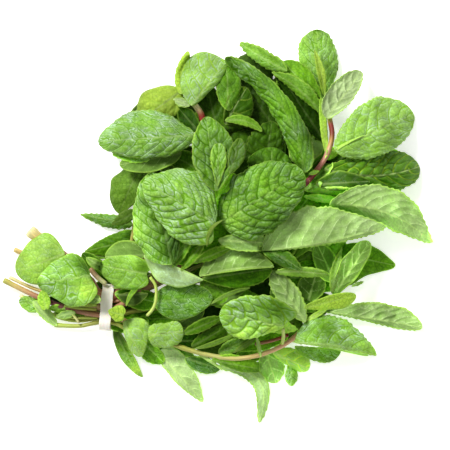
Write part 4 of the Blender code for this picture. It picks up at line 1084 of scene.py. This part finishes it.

# %% [markdown]
# ## Uneven tones
# Real blades are lighter where light falls through them and darker in the shade of others.
# A few soft patches on the plan paint this on as painted light and painted shade: they shift
# the yellowness and the lightness of single leaves.  The upper leaves also differ in how pale
# their veins are and how far these sweep.

# %% Patches of painted light and shade
USUAL_PALENESS = 0.2
PALE_VEINS = {
    "right_dark": 1.0, "low_light": 1.0, "low_mid_edge": 0.8, "mid_striped": 0.8, "low_square": 0.6,
    "band_low_pale": 0.6, "top_fan": 0.55, "top_left_yellow": 0.5, "right_mid": 0.5, "right_top": 0.4,
    "low_front": 0.45, "right_low_big": 0.4, "band_front": 0.4, "tail_left": 0.4, "tail_right": 0.3,
    "upper_left": 0.25, "crown_left": 0.15, "crown_up": 0.15, "crown_right": 0.1,
    "crown_back_left": 0.1, "arch": 0.05, "mid_oval": 0.0}
SWEEPS = {"crown_left": 0.55, "crown_right": 0.34, "crown_back_left": 0.36}
# Each patch paints light (positive numbers) and shade (negative numbers) on one leaf: place, size, added
# yellowness, added lightness.
LIGHT_AND_SHADE_PATCHES = {
    "mid_pale_long": [((2, -16), 8, 0.1, 0.7)],
    "band_front": [((-49, -25), 5, -0.1, -0.45)],
    "mid_folded": [((-48, -24), 4, -0.2, -0.5)],
    "low_long": [((-32, -79), 7, 0.0, 0.4)],
    "tail_right": [((-81, -38), 8, 0.3, 0.2), ((-86, -21), 7, -0.15, -0.45), ((-80, -26), 5, -0.2, -0.4)],
    "low_front": [((10, -67), 9, 0.25, 0.15), ((28, -62), 8, 0.3, 0.2), ((32, -50), 10, -0.15, -0.35)],
    "right_low_big": [((86, -75), 8, 0.1, 0.1), ((60, -62), 8, -0.15, -0.15)],
    "low_tail": [((-53, -88), 6, 0.35, 0.4), ((-63, -68), 7, -0.1, -0.5)],
    "arch": [((55, 62), 8, -0.2, -0.5), ((36, 72), 12, 0.0, 0.25), ((42, 42), 8, 0.0, 0.2),
             ((54, 52), 7, -0.1, -0.3), ((28, 90), 8, -0.1, -0.25)],
    "crown_right": [((4, 4), 10, 0.2, 0.1), ((24, 22), 14, 0.05, 0.1), ((30, -2), 10, -0.1, -0.15)],
    "crown_back_left": [((-30, -14), 9, -0.25, -0.6), ((-46, 14), 4, -0.1, -0.5), ((-41, 5), 4, -0.1, -0.5),
                        ((-36, -3), 4, -0.1, -0.5), ((-52, -2), 7, 0.1, 0.15)],
    "right_big_pale": [((34, -4), 14, 0.0, 0.22), ((85, 2), 10, 0.1, 0.1)],
    "right_long": [((74, 8), 9, -0.15, -0.1), ((118, -4), 8, 0.15, 0.1)]}


def tone_of(leaf, shape):
    """Yellowness, lightness, painted sheen and paleness of the veins over a blade.

    The first three are the leaf's own numbers, shifted by its patches of painted light and
    shade; the painted sheen fades there.  The veins of an underside are always pale ridges.
    """
    flat = 0 * shape["t"][..., None]
    tone = np.concatenate([number + flat for number in (leaf.yellow, leaf.light, leaf.frost)], axis=-1)
    for (px, py), size, more_yellow, more_light in LIGHT_AND_SHADE_PATCHES.get(leaf.name, []):
        near = np.exp(-((shape["x"] - px) ** 2 + (shape["y"] - py) ** 2) / size ** 2)
        tone[..., 0] += more_yellow * near
        tone[..., 1] += more_light * near
        tone[..., 2] *= 1 - 0.8 * near
    paleness = 1.0 if leaf.under else PALE_VEINS.get(leaf.name, USUAL_PALENESS)
    return np.concatenate([np.clip(tone, 0, 2), paleness + flat], axis=-1)


print("leaves with patches:", len(LIGHT_AND_SHADE_PATCHES))

# %% [markdown]
# ## Laying the leaves
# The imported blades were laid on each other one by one, and each was lifted and tipped a
# little to clear the one below.  The fine blades have to lie as they do.  Probing the packed
# blade from above and below at a few points gives the height of its middle, and the best
# plane through the differences is the lift and the tip.

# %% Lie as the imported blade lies
PROBE_STEPS = np.linspace(0.12, 0.88, 7)
print("probes to a blade:", len(PROBE_STEPS) ** 2)


def probe(tree, x, y):
    """The height of the middle of a thin node at a plan point, in millimetres, or None beside it."""
    px, py, _ = to_part(x, y, 0.0)
    above = tree.ray_cast((px, py, 1), (0, 0, -1))[0]
    below = tree.ray_cast((px, py, -1), (0, 0, 1))[0]
    return None if above is None or below is None else (above.z + below.z) / 2 / MM


def lie_on_node(name, shape):
    """A blade's heights, lifted and tipped to fit its node."""
    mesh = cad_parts[name].data
    tree = BVHTree.FromPolygons([v.co for v in mesh.vertices], [p.vertices for p in mesh.polygons])
    rows, columns = shape["x"].shape
    measured = []
    for i in (PROBE_STEPS * (rows - 1)).astype(int):
        for j in (PROBE_STEPS * (columns - 1)).astype(int):
            height = probe(tree, shape["x"][i, j], shape["y"][i, j])
            if height is not None:
                measured.append((1, 2 * shape["u"][i, j] - 1, shape["v"][i, j], height - shape["z"][i, j]))
    measured = np.array(measured)
    lift, tip_along, tip_across = np.linalg.lstsq(measured[:, :3], measured[:, 3], rcond=None)[0]
    return shape["z"] + lift + tip_along * (2 * shape["u"] - 1) + tip_across * shape["v"]


# %% [markdown]
# ## From numbers to a piece
# A large leaf gets a fine grid and a small one a coarse grid, so that the points are about
# as close together everywhere.  A blade that follows a node replaces it.

# %% A blade's grid and its piece
LOWEST_POINT = 0.4
ROWS_PER_MM, FEWEST_ROWS, MOST_ROWS = 2.3, 30, 150
COLUMNS_PER_MM, FEWEST_COLUMNS, MOST_COLUMNS = 1.7, 11, 64


def grid_size(leaf):
    """Rows and columns of a blade's grid: long blades get the finest."""
    length = np.hypot(*np.subtract(leaf.tip, leaf.foot))
    width = max(leaf.left) + max(leaf.right)
    rows = int(np.clip(length * ROWS_PER_MM, FEWEST_ROWS, MOST_ROWS))
    columns = int(np.clip(width * COLUMNS_PER_MM, FEWEST_COLUMNS, MOST_COLUMNS)) // 2 * 2 + 1
    return rows, columns


def make_blade(leaf, shape, seed):
    """Shape the relief of a laid blade and close it."""
    net = veins(shape, seed, SWEEPS.get(leaf.name, VEIN_SWEEP))
    raised = relief(shape, net, leaf.quilt, seed) * (-1 if leaf.under else 1)
    thinner = 0.35 + 0.65 * min(1, leaf.quilt)
    net["net"], net["side"] = net["net"] / thinner, net["side"] / thinner
    middle = to_part(shape["x"], shape["y"], shape["z"])
    middle = middle + normals(middle) * raised[..., None] * MM
    middle[..., 2] = np.maximum(middle[..., 2], LOWEST_POINT * MM)
    piece = close_blade(leaf.name, middle, shape, net, tone_of(leaf, shape), not leaf.under, seed)
    if leaf.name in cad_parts:
        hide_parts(leaf.name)


# %% [markdown]
# ## Laying the pile
# First every blade is shaped, and those with a node are laid as it lies.  Going down the pile
# once gives every small leaf the ceiling over it, and going up once gives it the floor and
# puts all of them in place.

# %% Lay and close every blade
FIRST_ABOVE_STEMS = "core_a"
OPEN_SKY = 1000

shapes = {leaf.name: blade(leaf, *grid_size(leaf)) for leaf in LEAVES}
for name, shape in shapes.items():
    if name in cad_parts:
        shape["z"] = lie_on_node(name, shape)

ceiling = field(OPEN_SKY)
ceilings = {}
for name, shape in reversed(shapes.items()):
    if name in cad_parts:
        stamp(ceiling, np.minimum, shape["x"], shape["y"], shape["z"])
    else:
        ceilings[name] = ceiling.copy()

floor = field(0)
for seed, leaf in enumerate(LEAVES):
    shape = shapes[leaf.name]
    if leaf.name == FIRST_ABOVE_STEMS:
        floor = np.maximum(floor, stem_tops)
    if leaf.name in ceilings:
        shape["z"] = fit_between(shape, floor, ceilings[leaf.name])
    stamp(floor, np.maximum, shape["x"], shape["y"], shape["z"])
    make_blade(leaf, shape, seed)
print("blades:", len(LEAVES))

# %% [markdown]
# ## The leaves inside the heap
# Through the gaps between the outer leaves one sees more leaves, dark with shade.  They are
# placed by a loop: points on a sunflower spiral over the heap, each with a plain blade that
# points away from the band.  A blade is used only if all of it lies within the outline of
# the outer leaves, and it is pressed down under whatever lies above it.  Every third one is
# broad, painted dark as shade, and lies at the very bottom; the others are painted darker
# the nearer they lie to a shaded spot in the middle of the top of the heap.

# %% Inner leaves
INNER_TRIES = 190
INNER_CENTRE, INNER_REACH, INNER_SOURCE = (10, 5), 100.0, (-70, -45)
GOLDEN_ANGLE = math.radians(137.508)
LOWEST_LEVEL, LOWEST_ROOM, INNER_GAP = 0.08, 2.2, 2.0
PAINTED_SHADE_CENTRE, PAINTED_SHADE_SIZE = (12, 62), 32.0
OPENINGS = [(69, 60, 7), (78, -60, 8), (-73, -4, 6), (-71, 8, 5)]
HALF_GAP = 6
INNER_GRID = (28, 11)
INNER_SEEDS = 200


def closed_outline(heights):
    """Cells covered from above, with gaps narrower than a dozen millimetres filled."""
    covered = heights < OPEN_SKY / 10
    for grow in (True, False):
        for _ in range(HALF_GAP):
            near = [np.roll(covered, shift, axis) for shift, axis in ((1, 0), (-1, 0), (1, 1), (-1, 1))]
            combine = np.logical_or if grow else np.logical_and
            covered = combine.reduce([covered] + near)
    return covered


def inner_leaf(i, name):
    """The numbers of the leaf at step i of the spiral; the order of the draws is fixed."""
    reach = INNER_REACH * math.sqrt((i + 0.5) / INNER_TRIES)
    foot = (INNER_CENTRE[0] + reach * math.cos(i * GOLDEN_ANGLE),
            INNER_CENTRE[1] + reach * math.sin(i * GOLDEN_ANGLE))
    heading = math.atan2(foot[1] - INNER_SOURCE[1], foot[0] - INNER_SOURCE[0]) + chance.normal(0, 0.5)
    lowest = i % 3 == 0
    length, width, level = chance.uniform(24, 36), chance.uniform(7, 11), chance.uniform(0.3, 0.8)
    if lowest:
        width, level = width + 3, LOWEST_LEVEL
    tip = (foot[0] + length * math.cos(heading), foot[1] + length * math.sin(heading))
    # Painted shade: the lightness drops near the shaded spot, and the lowest leaves are painted dark.
    shade = math.exp(-((foot[0] - PAINTED_SHADE_CENTRE[0]) ** 2 + (foot[1] - PAINTED_SHADE_CENTRE[1]) ** 2) / PAINTED_SHADE_SIZE ** 2)
    under, yellow = chance.random() >= 0.6, chance.uniform(0.25, 0.5)
    light = (0.5 if lowest else chance.uniform(0.6, 2.0)) * (1 - 0.6 * shade)
    widths = (width * 0.8, width, width * 0.6)
    return Leaf(name, foot, tip, widths, None, level, (yellow, light, 0.05, 0.5, 0.4),
                bow=chance.normal(0, 3), rise=(0, 1, 0), sides=(-1, -1), under=under)


print("steps of the spiral:", INNER_TRIES)

# %% [markdown]
# ## Filling the heap
# The heap's own underside tells where an inner leaf may lie.  A few openings through which
# the table shows are kept free.

# %% Put the inner leaves in place
heap = field(OPEN_SKY)
for shape in shapes.values():
    stamp(heap, np.minimum, shape["x"], shape["y"], shape["z"])
inside = closed_outline(heap)
for x, y, size in OPENINGS:
    inside[cells(*np.mgrid[x - size:x + size, y - size:y + size])] = False
chance = np.random.default_rng(4)
inner_count = 0
for i in range(INNER_TRIES):
    small = inner_leaf(i, "inner_%02d" % inner_count)
    shape = blade(small, *INNER_GRID)
    place = cells(shape["x"], shape["y"])
    if inside[place].all() and heap[place].min() > LOWEST_ROOM:
        shape["z"] = fit_between(shape, 0 * heap, heap, INNER_GAP)
        make_blade(small, shape, INNER_SEEDS + i)
        inner_count += 1
print("inner leaves:", inner_count)

# %% [markdown]
# ## The rubber band
# The band is a flat strip of pale rubber bent round the stems.  Its section is a rectangle
# with round edges, carried round the same loop as its node: straight above and below, round
# at the ends.  Slight waves along the loop keep the strip from looking machined.

# %% The rubber band
BAND_WIDTH, BAND_THICKNESS, BAND_HEIGHT, BAND_SPAN = 7.2, 1.0, 12.2, 28.4
BAND_LEAN = math.radians(-5.0)
LOOP_STEPS = 160
SECTION_STEPS = 28


def band_finish():
    """Pale rubber: faintly mottled, with fine lines along the strip and a soft surface."""
    finish = Finish("band_rubber")
    place = finish.coordinates("strip")
    long_lines = finish.streaks(place, 0.05, 1.6, 4.0)
    mottle = finish.noise(place, 0.35, 3.0)
    colour = finish.blend(mottle, (0.95, 0.88, 0.78, 1), (1.0, 0.96, 0.91, 1))
    darker = finish.tinted(colour, (0.94, 0.91, 0.88))
    lined = finish.blend(finish.step(long_lines, 0.35, 0.7), darker, colour)
    finish.put({"Base Color": lined, "Roughness": finish.line(mottle, 0.2, 0.45),
                "Normal": finish.bump(0.5, 0.0003, long_lines), "Subsurface Weight": 0.2,
                "Subsurface Radius": (1.0, 0.6, 0.4), "Subsurface Scale": 0.001})
    return finish.material


def band_loop():
    """Steps along the loop, with each step's place and outward direction in the loop's plane.

    The loop is two straight runs joined by two half circles.  It starts with the lower run
    and goes on up round the one end, back along the upper run and down round the other end.
    """
    radius = (BAND_HEIGHT - BAND_THICKNESS) / 2
    straight = BAND_SPAN - BAND_HEIGHT
    lower_end, bend_end, upper_end = np.cumsum([straight, np.pi * radius, straight])
    total = upper_end + np.pi * radius
    s = np.linspace(0, total, LOOP_STEPS, endpoint=False)
    turn = np.where(s < bend_end, (s - lower_end) / radius - np.pi / 2, (s - upper_end) / radius + np.pi / 2)
    on_lower, on_upper = s < lower_end, (s >= bend_end) & (s < upper_end)
    on_run = on_lower | on_upper
    centre = np.select([on_lower, on_upper, s < bend_end],
                       [s - straight / 2, straight / 2 - (s - bend_end), straight / 2], -straight / 2)
    out = np.where(on_run, 0, np.cos(turn)), np.where(on_run, np.where(on_lower, -1, 1), np.sin(turn))
    return s, total, centre + radius * out[0], radius * out[1], *out


print("the band's loop:", round(band_loop()[1], 1), "mm round")

# %% [markdown]
# ## The strip
# The section is a rectangle with round edges.  A bevel would round them, but a wave raised
# to a power gives the same shape in one step, and its points crowd at the edges, where the
# light turns.

# %% The strip
EDGE_POWERS = (0.35, 0.6)
HOLLOW = 0.10
GIRTH = 16


def rounded(wave, power):
    """A wave made squarer: its sign times a power of its size."""
    return np.sign(wave) * np.abs(wave) ** power


def make_band():
    """The strip: a point of the loop, its outward direction, and the section laid across it.

    The section is a superellipse, flat with round edges and slightly hollow outside.  Its
    width changes a little and its edges wave a little along the loop.
    """
    s, total, v, w, out_v, out_w = (np.asarray(value)[..., None] for value in band_loop())
    angle = np.linspace(0, 2 * np.pi, SECTION_STEPS, endpoint=False)[None, :]
    phase = 2 * np.pi * s / total
    across = BAND_WIDTH / 2 * rounded(np.cos(angle), EDGE_POWERS[0])
    wave = 0.8 * (0.12 * np.sin(5 * phase) + 0.10 * np.sin(11 * phase + 1))
    across = across * (1 - 0.02 * (1 + np.sin(3 * phase))) + wave
    proud = BAND_THICKNESS / 2 * rounded(np.sin(angle), EDGE_POWERS[1])
    proud = proud - HOLLOW * (1 - (across / BAND_WIDTH * 2) ** 2) * (proud > 0)
    loop_v, loop_w = v + out_v * proud, w + out_w * proud + BAND_HEIGHT / 2
    cos, sin = math.cos(BAND_LEAN), math.sin(BAND_LEAN)
    x = BAND_CENTRE[0] + cos * across - sin * loop_v
    y = BAND_CENTRE[1] + sin * across + cos * loop_v
    first = np.arange(LOOP_STEPS)[:, None] * SECTION_STEPS + np.arange(SECTION_STEPS)[None, :]
    over = np.roll(first, -1, axis=1)
    faces = np.stack([first, np.roll(first, -1, axis=0), np.roll(over, -1, axis=0), over], axis=-1)
    piece = new_mesh("rubber_band", to_part(x, y, loop_w), faces.reshape(-1, 4), [band_finish()])
    around = np.arange(SECTION_STEPS) / SECTION_STEPS * GIRTH
    add_uv(piece.data, "strip", np.repeat(s, SECTION_STEPS), np.tile(around, LOOP_STEPS))
    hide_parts("rubber_band")
    return piece


band = make_band()
print("band points:", len(band.data.vertices))

# %% [markdown]
# ## The table
# A plain pale table top, wide enough to fill the view from any side.  It is a light table:
# it glows a little, which keeps it white and lights the shadows from below.

# %% The table
TABLE_HALF = 6.0
TABLE_GLOW = 0.44


def table_finish():
    """Near-white, faintly uneven, not shiny, and glowing a little."""
    finish = Finish("table_white")
    cloud = finish.noise(finish.node("TexCoord").outputs["Object"], 6.0, 2.0)
    finish.put({"Base Color": finish.blend(cloud, (0.90, 0.90, 0.90, 1), (0.94, 0.94, 0.94, 1)),
                "Roughness": 0.7, "Emission Color": (1, 1, 1, 1), "Emission Strength": TABLE_GLOW})
    return finish.material


signs = ((-1, -1), (1, -1), (1, 1), (-1, 1))
corners = [(TABLE_HALF * across, TABLE_HALF * along, 0) for across, along in signs]
table_mesh = bpy.data.meshes.new("table")
table_mesh.from_pydata(corners, [], [(0, 1, 2, 3)])
table_mesh.materials.append(table_finish())
table = bpy.data.objects.new("table", table_mesh)
bpy.context.scene.collection.objects.link(table)
print("table:", 2 * TABLE_HALF, "metres across")
